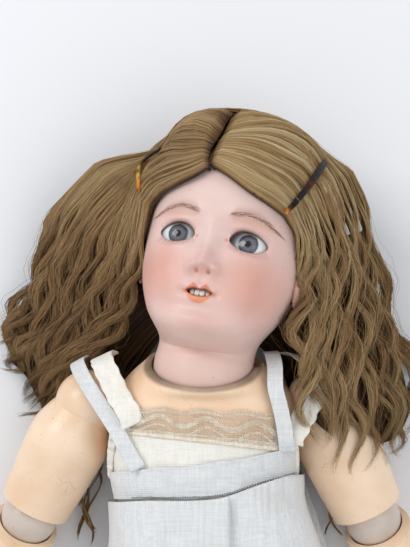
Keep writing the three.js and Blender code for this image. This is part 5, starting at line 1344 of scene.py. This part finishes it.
arm_enamel = composition("arm_enamel", "#f8dec1", "#eeccab")
ball_enamel = composition("ball_enamel", "#dccfc3", "#c9bcb0")
for side in (-1, 1):
    owner = "left" if side > 0 else "right"
    arm_turn = arm_turn_of(side)
    shoulder = np.array(sided(side, SHOULDER))
    r = 25.5
    stations = [[5, 0.72 * r, 0.74 * r], [13, 0.84 * r, 0.88 * r, 0, side * 0.6], [26, r], [44, 0.97 * r],
        [62, 0.92 * r], [75, 0.88 * r]]
    upper = closed_rings(f"{owner}_upper_arm_shell", limb_rings(stations))
    carve(upper, ball_of("shoulder", 20, (0, 0, 0)), "UNION")
    carve(upper, ball_of("cup", 18.3, (0, -84, 0)))
    carve(upper, rod("bore", 4, (0, -42, 0), 84, turned_x(90), 24))
    channel = turned_z(-side * ARM_SPREAD[side])
    carve(upper, rod("channel", 6.4, channel @ np.array([-side * 13.4, 0, 0]), 40, channel @ turned_y(90),
        32))
    finish_limb(upper, arm_turn, shoulder, arm_enamel, f"{owner}_upper_arm", f"{owner}_upper_arm")
    elbow = shoulder + arm_turn @ np.array([0, -84, 0])
    joint = ball_of(f"{owner}_elbow_sphere", 17.5, (0, 0, 0))
    carve(joint, rod("bore", 4, (0, 0, 0), 40, turned_x(90), 24))
    finish_limb(joint, arm_turn, elbow, ball_enamel, f"{owner}_elbow_ball", f"{owner}_elbow")
    fore_turn = arm_turn @ turned_x(-10)
    r = 20.0
    stations = [[-8, 1.04 * r], [8, 1.05 * r], [22, r], [44, 0.86 * r], [60, 0.7 * r], [72, 12.2]]
    fore = closed_rings(f"{owner}_forearm_shell", limb_rings(stations))
    carve(fore, rim_cut(7, 30))
    carve(fore, ball_of("cup", 18.5, (0, 0, 0)))
    carve(fore, ball_of("cup", 10.5, (0, -74, 0)))
    carve(fore, rod("bore", 4, (0, -37, 0), 74, turned_x(90), 24))
    finish_limb(fore, fore_turn, elbow, arm_enamel, f"{owner}_forearm", f"{owner}_forearm")
    wrist = elbow + fore_turn @ np.array([0, -74, 0])
    hand_turn = fore_turn @ turned_x(-4) @ turned_y(side * 40)
    stations = [[4.5, 8.2, 7.0], [13, 11.5, 7.2], [22, 14.5, 7.6, 0.5], [32, 15, 7, 0.8],
        [37, 13.6, 5.4, 0.8], [38.6, 11, 3.4, 0.8]]
    hand = closed_rings(f"{owner}_moulded_hand", limb_rings(stations, 40, 4))
    carve(hand, ball_of("wrist", 9.6, (0, 0, 0), 48, 30), "UNION")
    for x, length in zip((-10.4, -3.6, 3.4, 10), (17, 21, 22, 19)):
        stations = [[31, 3.0, 2.9, 0.8, x], [37, 3.45, 3.3, 0.7, x], [37 + 0.35 * length, 3.2, 3.0, 0, x]]
        stations += [[37 + 0.5 * length, 3.3, 3.15, -0.6, x], [33 + length, 3.0, 2.7, -3.0, x],
            [36.4 + length, 1.3, 1.2, -4.3, x]]
        carve(hand, closed_rings("finger", limb_rings(stations, 20, 4)), "UNION")
    thumb = closed_rings("thumb", limb_rings([[-3, 3.8], [4, 4.2], [9, 4.15], [16, 3.4], [20, 1.5]], 20, 4))
    placed(thumb, turned_z(-side * 38), np.array([-side * 9.5, -13, -1]))
    carve(hand, thumb, "UNION")
    smooth = hand.modifiers.new("soft", "REMESH")
    smooth.mode = "VOXEL"
    smooth.voxel_size = 0.55 * mm
    soften = hand.modifiers.new("smooth", "SMOOTH")
    soften.factor, soften.iterations = 0.5, 5
    bpy.context.view_layer.objects.active = hand
    bpy.ops.object.modifier_apply(modifier="soft")
    bpy.ops.object.modifier_apply(modifier="smooth")
    finish_limb(hand, hand_turn, wrist, arm_enamel, f"{owner}_hand", f"{owner}_hand", 60)

# Legs: straight turned thigh and lower leg over a knee ball, with a small flat foot
leg_enamel = composition("leg_enamel", "#f7dabb", "#eecaa6")
for side in (-1, 1):
    owner = "left" if side > 0 else "right"
    leg_turn = turned_z(side * 5) @ turned_x(7.6)
    hip = np.array(sided(side, HIP))
    r = 29.0
    stations = [[4, 0.72 * r], [14, 0.9 * r], [32, r], [62, 0.95 * r], [94, 0.86 * r], [120, 0.79 * r]]
    thigh = closed_rings(f"{owner}_thigh_shell", limb_rings(stations))
    carve(thigh, ball_of("hip", 23.5, (0, 0, 0)), "UNION")
    carve(thigh, ball_of("cup", 21.5, (0, -132, 0)))
    carve(thigh, rod("bore", 4, (0, -66, 0), 132, turned_x(90), 24))
    carve(thigh, rod("top_bore", 7, (0, 10.25, 0), 34.5, turned_x(90), 32))
    finish_limb(thigh, leg_turn, hip, leg_enamel, f"{owner}_thigh", f"{owner}_thigh")
    knee = hip + leg_turn @ np.array([0, -132, 0])
    joint = ball_of(f"{owner}_knee_sphere", 20, (0, 0, 0))
    finish_limb(joint, leg_turn, knee, ball_enamel, f"{owner}_knee_ball", f"{owner}_knee")
    shank_turn = leg_turn @ turned_x(-4.8) @ turned_y(side * 14)
    r = 24.0
    stations = [[-9, 0.95 * r], [10, 0.96 * r], [30, 0.98 * r], [50, 0.95 * r, 0.95 * r, -1.2]]
    stations += [[78, 0.78 * r, 0.8 * r, -1], [104, 0.58 * r, 0.62 * r], [126, 0.52 * r, 0.6 * r]]
    shank = closed_rings(f"{owner}_lower_leg_shell", limb_rings(stations))
    carve(shank, rim_cut(8, -30))
    carve(shank, ball_of("cup", 21.5, (0, 0, 0)))
    table = np.array([[-17.5, 6, 8], [-14, 10.5, 14], [-4, 13, 17], [12, 14, 14], [27, 15.5, 10],
        [37, 15, 8], [43, 9, 6]], float)
    rows = along(table, np.linspace(0, 6, 37))
    a = np.linspace(0, 2 * math.pi, 48, endpoint=False)
    z = np.broadcast_to(rows[:, :1], (37, 48))
    y = np.maximum(-146, -146 + rows[:, 2:] * 0.92 + rows[:, 2:] * np.sin(a))
    carve(shank, closed_rings("foot", np.stack([rows[:, 1:2] * np.cos(a), y, z], -1)), "UNION")
    finish_limb(shank, shank_turn, knee, leg_enamel, f"{owner}_lower_leg", f"{owner}_lower_leg")

# Chemise: thin aged cotton cut square at the neck, close round the trunk. Its top edge lies
# under the lace, and the armholes are open round the arms.
def body_at(a, y, out):
    """Places on the body's form moved out, at angle a and height y, all in mm."""
    a, y, out = np.broadcast_arrays(a, y, out)
    low, high = np.zeros(a.shape), np.full(a.shape, 13.0)
    for _ in range(20):
        t = (low + high) / 2
        above = moved_out(TORSO_ROWS, t, a, out)[..., 1] > y
        low, high = np.where(above, t, low), np.where(above, high, t)
    return moved_out(TORSO_ROWS, (low + high) / 2, a, out)


def ripple(x, y, seed, size):
    """Smooth random relief about -1 to 1, with bumps about size mm across."""
    dice = np.random.default_rng(seed)
    made = 0
    for _ in range(7):
        turn, phase = dice.uniform(0, 2 * math.pi, 2)
        pace = 2 * math.pi / (size * dice.uniform(0.7, 1.8))
        made = made + np.sin(pace * (x * math.cos(turn) + y * math.sin(turn)) + phase)
    return made / 3.2


def sheet_of(name, grid, thick, keep=None):
    """Cloth with two faces and closed edges from rows of points on its outer face."""
    rows, count = grid.shape[:2]
    down, run = np.gradient(grid, axis=0), np.gradient(grid, axis=1)
    n = np.cross(down, run)
    n /= np.linalg.norm(n, axis=2, keepdims=True) + 1e-9
    points = np.concatenate([grid.reshape(-1, 3), (grid - n * thick).reshape(-1, 3)])
    quads = quads_of(rows, count, closed=False)
    if keep is not None:
        quads = quads[keep.reshape(-1)[quads].all(1)]
    ways = np.concatenate([quads[:, [k, (k + 1) % 4]] for k in range(4)])
    codes = ways[:, 0].astype(np.int64) * len(points) + ways[:, 1]
    back = ways[:, 1].astype(np.int64) * len(points) + ways[:, 0]
    edge = ways[~np.isin(codes, back)]
    size = rows * count
    rims = np.stack([edge[:, 1], edge[:, 0], edge[:, 0] + size, edge[:, 1] + size], -1)
    made = mesh_piece(name, points, [quads, quads[:, ::-1] + size, rims])
    return outward(made)


def cloth_look(name, light, shade, stain, pitch, rough=0.85):
    """Plain-woven cloth: crossing threads, slubs along them, soft stains and a faint sheen."""
    made, tree, bsdf = new_material(name, Roughness=rough, Specular_IOR_Level=0.2)
    bsdf.inputs["Sheen Weight"].default_value = 0.25
    bsdf.inputs["Sheen Roughness"].default_value = 0.5
    place = add(tree, "ShaderNodeTexCoord").outputs["Object"]
    warp = add(tree, "ShaderNodeTexWave", {"Vector": place, "Scale": 1 / (pitch * 6.28) * 1000 * 0.5},
        bands_direction="X").outputs["Fac"]
    weft = add(tree, "ShaderNodeTexWave", {"Vector": place, "Scale": 1 / (pitch * 6.28) * 1000 * 0.5},
        bands_direction="Y").outputs["Fac"]
    slub_place = add(tree, "ShaderNodeMapping",
        {"Vector": place, "Scale": (1.0, 0.07, 1.0)}).outputs["Vector"]
    slub = add(tree, "ShaderNodeTexNoise",
        {"Vector": slub_place, "Scale": 700.0, "Detail": 3.0}).outputs["Fac"]
    cross_place = add(tree, "ShaderNodeMapping",
        {"Vector": place, "Scale": (0.07, 1.0, 1.0)}).outputs["Vector"]
    cross = add(tree, "ShaderNodeTexNoise",
        {"Vector": cross_place, "Scale": 700.0, "Detail": 3.0}).outputs["Fac"]
    threads = add(tree, "ShaderNodeMath", {0: slub, 1: cross}, operation="ADD").outputs["Value"]
    half = add(tree, "ShaderNodeMath", {0: threads, 1: 0.5}, operation="MULTIPLY").outputs["Value"]
    colour = ramp(tree, half, (0.36, shade), (0.62, light))
    cloud = add(tree, "ShaderNodeTexNoise", {"Vector": place, "Scale": 38.0, "Detail": 6.0}).outputs["Fac"]
    aged = add(tree, "ShaderNodeMapRange",
        {"Value": cloud, "From Min": 0.52, "From Max": 0.74, "To Max": 0.5})
    inputs = {"Factor": aged.outputs["Result"], "A": colour, "B": linear(stain)}
    mixed = add(tree, "ShaderNodeMix", inputs, data_type="RGBA")
    tree.links.new(mixed.outputs["Result"], bsdf.inputs["Base Color"])
    weave = add(tree, "ShaderNodeMath", {0: warp, 1: weft}, operation="ADD").outputs["Value"]
    height = add(tree, "ShaderNodeMath", {0: weave, 1: threads}, operation="ADD").outputs["Value"]
    relief = add(tree, "ShaderNodeBump", {"Strength": 0.35, "Distance": 0.00025, "Height": height})
    tree.links.new(relief.outputs["Normal"], bsdf.inputs["Normal"])
    return made


def lace_top(x):
    return 119.6 - 0.05 * x + 0.9 * np.cos(x / 3.4)


def band_top(x):
    table = np.array([83, 85.5, 87.5, 90.5, 95.5, 100.5])[:, None]
    return along(table, np.clip((x + 60) / 24, 0, 5))[..., 0]


def band_foot(x):
    table = np.array([67, 68.3, 68.3, 70, 77.5, 83.5])[:, None]
    return along(table, np.clip((x + 55) / 22, 0, 5))[..., 0]


def lace_foot(x):
    return np.maximum(102 - 0.13 * x, band_top(x) + 1.2)


aged_cotton = cloth_look("aged_cotton", "#f6f4ec", "#ece8dd", "#d9cba8", 0.32)
a = np.linspace(-math.pi, math.pi, 301)
front_x = 52 * np.sin(a)
under_lace = (np.abs(a) < 0.83) & (np.cos(a) > 0)
top = np.where(under_lace, lace_foot(front_x) + 3.0, 118.0)
v = np.linspace(0, 1, 150)[:, None]
grid_y = top + (-18 - top) * v
grid_a = np.broadcast_to(a, grid_y.shape)
grid = body_at(grid_a, grid_y, 1.5 + 0.25 * ripple(grid_a * 45, grid_y, 3, 14))
keep = grid[..., 2] > 0.9
for side in (-1, 1):
    arm_turn = arm_turn_of(side)
    local = (grid - sided(side, SHOULDER)) @ arm_turn
    away_from_axis = np.hypot(local[..., 0], local[..., 2])
    keep &= ~((local[..., 1] < 2) & (local[..., 1] > -90) & (away_from_axis < 30))
    keep &= np.linalg.norm(local, axis=-1) > 26.5
    hip = grid - sided(side, HIP)
    keep &= ~((np.abs(hip[..., 0]) < 31) & (hip[..., 1] < 3))
chemise = sheet_of("cotton_chemise", grid, 0.5, keep)
chemise.data.materials.append(aged_cotton)
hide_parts("chemise")
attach(chemise, "torso")
sewn_on = []

# Armhole frill: a narrow gathered cotton edging that shows below each arm
for side in (-1, 1):
    owner = "left" if side > 0 else "right"
    arm_turn = arm_turn_of(side)
    w = np.linspace(0.15, 1, 90)
    path_a = side * (0.95 + 0.5 * w)
    path_y = 112 - 34 * w
    inner = body_at(path_a, path_y, 2.3)
    outer = body_at(path_a + side * 0.05, path_y + 1.5, 4.2)
    edge = outer + (outer - inner) * 0.45 + np.stack([0 * w, 0.9 * np.sin(40 * w), 1.1 * np.cos(47 * w)], -1)
    levels = np.linspace(0, 1, 5)[:, None, None]
    frill = inner * (1 - levels) + edge * levels
    frill[..., 2] += 0.5 * np.sin(33 * w) * np.sin(math.pi * levels[..., 0])
    made = sheet_of(f"{owner}_armhole_frill", frill, 0.4)
    made.data.materials.append(aged_cotton)
    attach(made, "torso")
    sewn_on.append(made)


# Lace yoke: machine net with a waved motif, scalloped above and taped below, sewn to the
# chemise. The skin shows through its holes. Real threads in a net of about 1.1 by 1.3 mm.
def lace_place(u, v, out=2.2):
    """Across the yoke from 0 to 1 and down it from 0 to 1."""
    a = -0.82 + 1.68 * u
    x = 51.5 * np.sin(a)
    y = lace_top(x) + (lace_foot(x) - lace_top(x)) * v
    return body_at(a, y, out)


def threads_of(name, ends, radius, sides=4):
    """Straight round threads between pairs of points (count, 2, 3) in mm."""
    ends = np.asarray(ends)
    way = ends[:, 1] - ends[:, 0]
    way /= np.linalg.norm(way, axis=1, keepdims=True) + 1e-9
    first = np.cross(way, [0.1, 0.2, 1.0])
    first /= np.linalg.norm(first, axis=1, keepdims=True)
    second = np.cross(way, first)
    rings = []
    for k in range(sides):
        w = 2 * math.pi * k / sides
        rings.append(ends + (first * math.cos(w) + second * math.sin(w))[:,
            None] * np.asarray(radius).reshape(-1, 1, 1))
    rings = np.stack(rings, 2)
    number = len(ends)
    base = 2 * sides * np.arange(number)[:, None, None]
    j = np.arange(sides)
    body = np.stack([j, (j + 1) % sides, (j + 1) % sides + sides, j + sides], -1)
    caps = np.array([list(range(sides))[::-1], [k + sides for k in range(sides)]])
    groups = [(body[None] + base).reshape(-1, 4), (caps[None] + base).reshape(-1, sides)]
    return mesh_piece(name, rings.reshape(-1, 3), groups)


def net(u_count, v_count, density):
    """Threads of a slanting net where density says so, as pairs of (u, v)."""
    pairs = []
    for i in range(u_count):
        for j in range(v_count):
            shift = 0.5 * (j % 2)
            u, v = (i + shift) / u_count, j / v_count
            for du, dv in ((0.5, 1), (-0.5, 1)):
                end = ((i + shift + du) / u_count, (j + dv) / v_count)
                if 0 <= end[0] <= 1 and density(u, v):
                    pairs.append(((u, v), end))
    return np.array(pairs)


dice = np.random.default_rng(5)
fine = net(72, 13, lambda u, v: True)
wave = lambda u: 0.36 + 0.14 * math.sin(2 * math.pi * 3.2 * u + 0.6)
solid_net = net(150, 26, lambda u, v: abs(v - wave(u)) < 0.085 or v > 0.76 or v < 0.07 or abs(v - wave(u)
    - 0.3) < 0.03)
pairs = np.concatenate([fine, solid_net])
radius = np.concatenate([np.full(len(fine), 0.13), np.full(len(solid_net), 0.17)])
jitter = dice.normal(0, 1, pairs.shape) * [0.0012, 0.006]
ends = lace_place(np.clip(pairs[..., 0] + jitter[..., 0], 0, 1),
    np.clip(pairs[..., 1] + jitter[..., 1], 0, 1), 2.3)
ends[..., 2] += 0.12
knots = threads_of("lace_yoke", ends, radius)
# Scallops: twisted loops along the top edge
loops = []
for k in range(46):
    c = (k + 0.5) / 46
    w = np.linspace(0, math.pi, 8)
    u = c + 0.0105 * np.cos(w)
    v = -0.01 - 0.085 * np.sin(w)
    points = lace_place(u, v, 2.5)
    loops += [np.stack([points[i], points[i + 1]]) for i in range(7)]
scallops = threads_of("lace_scallops", loops, 0.3)
tape_u, tape_v = np.meshgrid(np.linspace(0, 1, 160), np.linspace(0.9, 1.02, 6), indexing="xy")
tape = lace_place(tape_u, tape_v, 2.7 + 0.2 * np.sin(tape_u * 190))
tape_piece = sheet_of("lace_tape", tape, 0.4)
lace_cotton = cloth_look("lace_cotton", "#f4ecdc", "#dfd0b6", "#c4a878", 0.3, 0.9)
for made in (knots, scallops, tape_piece):
    made.data.materials.append(lace_cotton)
    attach(made, "torso")
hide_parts("chemise_lace")
sewn_on += [knots, scallops, tape_piece]

# Pinafore: fine blue-grey linen, hard pressed. A band round the chest with a centre seam,
# joined to the skirt by a row of hemstitching, and two narrow straps.
grey_linen = cloth_look("grey_linen", "#e8e9e9", "#d6d9da", "#cfccc3", 0.3)
band_a = np.linspace(-1.42, 1.4, 190)[None]
band_x = 53.5 * np.sin(band_a)
v = np.linspace(0, 1, 34)[:, None]
band_y = band_top(band_x) + 0.35 * np.sin(band_x / 5) + (band_foot(band_x) - band_top(band_x)) * v
lift = 3.9 + 0.28 * ripple(band_x, band_y, 21, 17) + 0.35 * bump((band_x - 12.8) / 1.0) * (1 - 0.3 * v)
lift = lift + 0.35 * bump((v - 0.03) / 0.05) + 0.2 * bump((v - 0.96) / 0.04)
band = sheet_of("pinafore_band_cloth", body_at(band_a, band_y, lift), 0.6)
band.data.materials.append(grey_linen)
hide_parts("pinafore_band")
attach(band, "torso")

# Hemstitch: drawn-thread holes in a row, each bound by tight stitches, dark inside
holes, bars = [], []
for x in np.arange(-40, 51, 1.35):
    y = float(band_foot(np.array(x))) + 0.9 + 0.12 * math.sin(x)
    a_here = math.asin(max(-1, min(1, x / 53.5)))
    centre = body_at(np.array(a_here), np.array(y), np.array(4.25))
    holes.append(centre)
    if x < 49:
        nxt = body_at(np.array(math.asin(min(1, (x + 0.675) / 53.5))), np.array(y), np.array(4.45))
        bars.append([nxt - [0.1, 0.55, 0], nxt + [0.1, 0.55, 0]])
holes = np.array(holes)
angles6 = np.linspace(0, 2 * math.pi, 6, endpoint=False)
rings = []
for centre in holes:
    ring = np.stack([0.34 * np.cos(angles6), 0.42 * np.sin(angles6), np.zeros(6)], -1)
    rings.append([centre + ring + [0, 0, 0.12], centre + ring - [0, 0, 0.25]])
rings = np.array(rings).reshape(-1, 12, 3)
base = 12 * np.arange(len(rings))[:, None, None]
j = np.arange(6)
wall = np.stack([j, (j + 1) % 6, (j + 1) % 6 + 6, j + 6], -1)
lids = np.array([[0, 1, 2, 3, 4, 5], [11, 10, 9, 8, 7, 6]])
hem_holes = mesh_piece("hemstitch_holes", rings.reshape(-1, 3),
    [(wall[None] + base).reshape(-1, 4), (lids[None] + base).reshape(-1, 6)])
# Shadow of the drawn-thread holes, the dark inside of the cloth
hole_shade, tree, bsdf = new_material("hemstitch_hollow", Roughness=1.0, Specular_IOR_Level=0.0)
grained(tree, bsdf, (0.35, "#3b3d40"), (0.65, "#6e7174"), Scale=900.0)
hem_holes.data.materials.append(hole_shade)
hem_bars = threads_of("hemstitch_bars", bars, 0.2)
hem_bars.data.materials.append(grey_linen)
for made in (hem_holes, hem_bars):
    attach(made, "torso")


def on_body(x, y, out):
    """The place over the front of the body above x and y, by search over the angle."""
    near, far = 0.0, math.pi / 2
    for _ in range(16):
        a = (near + far) / 2
        if abs(body_at(np.array(math.copysign(a, x)), np.array(float(y)), np.array(float(out)))[0]) < abs(x):
            near = a
        else:
            far = a
    return body_at(np.array(math.copysign((near + far) / 2, x)), np.array(float(y)), np.array(float(out)))


def curve_through(points, count):
    """Points evenly along a smooth curve through a few."""
    table = np.array(points, float)
    fine = along(table, np.linspace(0, len(table) - 1, 400))
    run = np.concatenate([[0], np.cumsum(np.linalg.norm(np.diff(fine, axis=0), axis=1))])
    return np.stack([np.interp(np.linspace(0, run[-1], count), run, fine[:, k]) for k in range(3)], -1)


STRAPS = {
    "right_pinafore_strap": (
        [on_body(-38.6, 86, 4.6), on_body(-39.5, 87.6, 5.4), on_body(-46, 98, 6.6), on_body(-52.5, 110, 7.4)]
        + [(-63, 126, 75), (-71.5, 139, 71), (-77, 149, 58), (-77.5, 153, 46), (-75, 154, 35)],
        4.75, 29, 0.0,
    ),
    "left_pinafore_strap": (
        [on_body(50.4, 96, 5.2), on_body(50, 102, 7.0), on_body(48.5, 112, 6.6), on_body(46, 124, 6.6)]
        + [on_body(43.5, 134, 7.6), (43.5, 147, 77), (42.5, 155, 65), (41.5, 158, 51)],
        4.75, 4, 0.0,
    ),
    "right_chemise_strap": (
        [on_body(-42, 112, 3.4), on_body(-45, 120.5, 5.6), on_body(-50, 128, 6.6), (-56, 140, 76)]
        + [(-60.5, 149, 71), (-62.5, 154, 60), (-62, 156, 48), (-59, 155, 38)],
        7.0, 25, 0.5,
    ),
    "left_chemise_strap": (
        [on_body(53, 101, 6.5), on_body(56, 108, 8.8), (61.5, 118, 72), (67.5, 131, 73), (68, 143, 70)]
        + [(63, 152, 63), (58, 156, 52), (54, 156, 42)],
        7.0, -12, 1.1,
    ),
}
for name, (points, half, turn, crumple) in STRAPS.items():
    line = curve_through(points, 70)
    across = np.array([math.cos(math.radians(turn)), math.sin(math.radians(turn)), 0])
    w = np.linspace(-1, 1, 13)
    strap = line[:, None] + across * (w * half)[None, :, None]
    s = np.linspace(0, 1, 70)[:, None]
    if crumple:
        strap[..., 2] += crumple * (0.5 * np.sin(5.5 * w + 14 * s) + 0.5 * np.sin(34 * s + 2 * w) * np.abs(w))
        strap += across * (crumple * 0.55 * np.sin(52 * s + w * 2) * w**2)[..., None]
    else:
        strap[..., 2] += 0.18 * (np.abs(w) > 0.8) + 0.15 * np.sin(9 * s)
    strap[..., 2] += 0.6
    made = sheet_of(name + "_cloth", strap, 0.6)
    made.data.materials.append(grey_linen if "pinafore" in name else aged_cotton)
    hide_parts(name)
    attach(made, "torso")

# Skirt: two panels lapped at the front seam, gathered to the band and lying in soft folds
# over the thighs to the hem. They ride the trunk and don't follow a raised thigh.
HEIGHT = np.array([95, 94.5, 92, 89, 85, 79, 72, 65.0])[:, None]
HALF_RIGHT = np.array([60, 59.5, 67, 73, 77, 80, 84, 88.0])[:, None]
HALF_LEFT = np.array([64, 74, 84, 89, 94, 99, 104, 108.0])[:, None]


def skirt_at(x, y, lapped):
    down = np.clip((70 - y) / (220 / 7), 0, 7)
    half = np.where(x < 0, along(HALF_RIGHT, down)[..., 0], along(HALF_LEFT, down)[..., 0])
    share = np.clip(np.abs(x) / half, 0, 1)
    arch = (1 - share**3.2) ** (1 / 3.2)
    fold = (0.4 + 0.32 * down) * np.sin(x / 6 + 0.5 * np.sin(down)) * (1 - share**6)
    pleats = 0.4 * np.sin(x * 1.5 + np.sin(y / 9)) * np.exp(-down * 1.5) * (1 - share**6)
    creases = (0.35 + 0.1 * down) * ripple(x * 1.6, y * 0.5, 33, 16) * (1 - share**6)
    lap = 3.4 * (1 - ease(x, 16.8, 28.8)) * lapped
    z = 6 + (along(HEIGHT, down)[..., 0] - 6) * arch + fold + pleats + creases - lap
    return np.stack([x, y, z], -1)


for side, owner in ((-1, "right"), (1, "left")):
    v, w = np.meshgrid(np.linspace(0, 1, 130), np.linspace(0, 1, 120), indexing="ij")
    u = np.sin(w * math.pi / 2) ** 0.9
    guess = 67.1 + (-150 - 68.3) * v
    down = np.clip((70 - guess) / (220 / 7), 0, 7)
    edge = -along(HALF_RIGHT, down)[..., 0] if side < 0 else along(HALF_LEFT, down)[..., 0]
    start = 15.8 if side < 0 else 9.8
    x = start + (edge - start) * u
    head_line = band_foot(np.clip(x, -55, 55)) - 1.0
    y = head_line + (-150 - head_line) * v
    if side < 0:
        x, y = x[:, ::-1], y[:, ::-1]
    skirt = sheet_of(f"{owner}_skirt_cloth", skirt_at(x, y, 1.0 if side > 0 else 0.0), 0.7)
    skirt.data.materials.append(grey_linen)
    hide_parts(f"pinafore_skirt_{owner}")
    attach(skirt, "torso")

# The CAD nodes that stay: the stringing, hooks, neck fittings, pate and eye weight
stay = {
    "iron": ("drawn_iron", "#4c4a47", "#7c776f", 0.45, 0.9),
    "lead": ("cast_lead", "#6b6c6e", "#8f9092", 0.6, 0.8),
    "elastic": ("covered_elastic", "#cfc7b4", "#e6dfcf", 0.85, 0.0),
    "wood": ("turned_beech", "#a97f4e", "#cda472", 0.6, 0.0),
    "card": ("strawboard", "#b79c74", "#cdb68f", 0.9, 0.0),
}
looks = {}
for kind, (name, low, high, rough, metal) in stay.items():
    made, tree, bsdf = new_material(name, Roughness=rough, Metallic=metal)
    grain = grained(tree, bsdf, (0.35, low), (0.65, high), Scale=420.0, Detail=5.0)
    relief = add(tree, "ShaderNodeBump", {"Strength": 0.3, "Distance": 0.0002, "Height": grain})
    tree.links.new(relief.outputs["Normal"], bsdf.inputs["Normal"])
    looks[kind] = made
carried = {
    "neck_button": "wood", "neck_hook": "iron", "neck_spring": "iron", "eye_rocker": "lead", "pate": "card",
    "arm_elastic": "elastic", "leg_elastic": "elastic",
}
for owner in ("left", "right"):
    carried[f"{owner}_shoulder_hook"] = carried[f"{owner}_hip_hook"] = "iron"
    for part in ("upper_arm", "forearm", "thigh"):
        carried[f"{owner}_{part}_elastic"] = "elastic"
for node, kind in carried.items():
    for place_in_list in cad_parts[node].material_slots:
        place_in_list.material = looks[kind]

low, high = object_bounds()
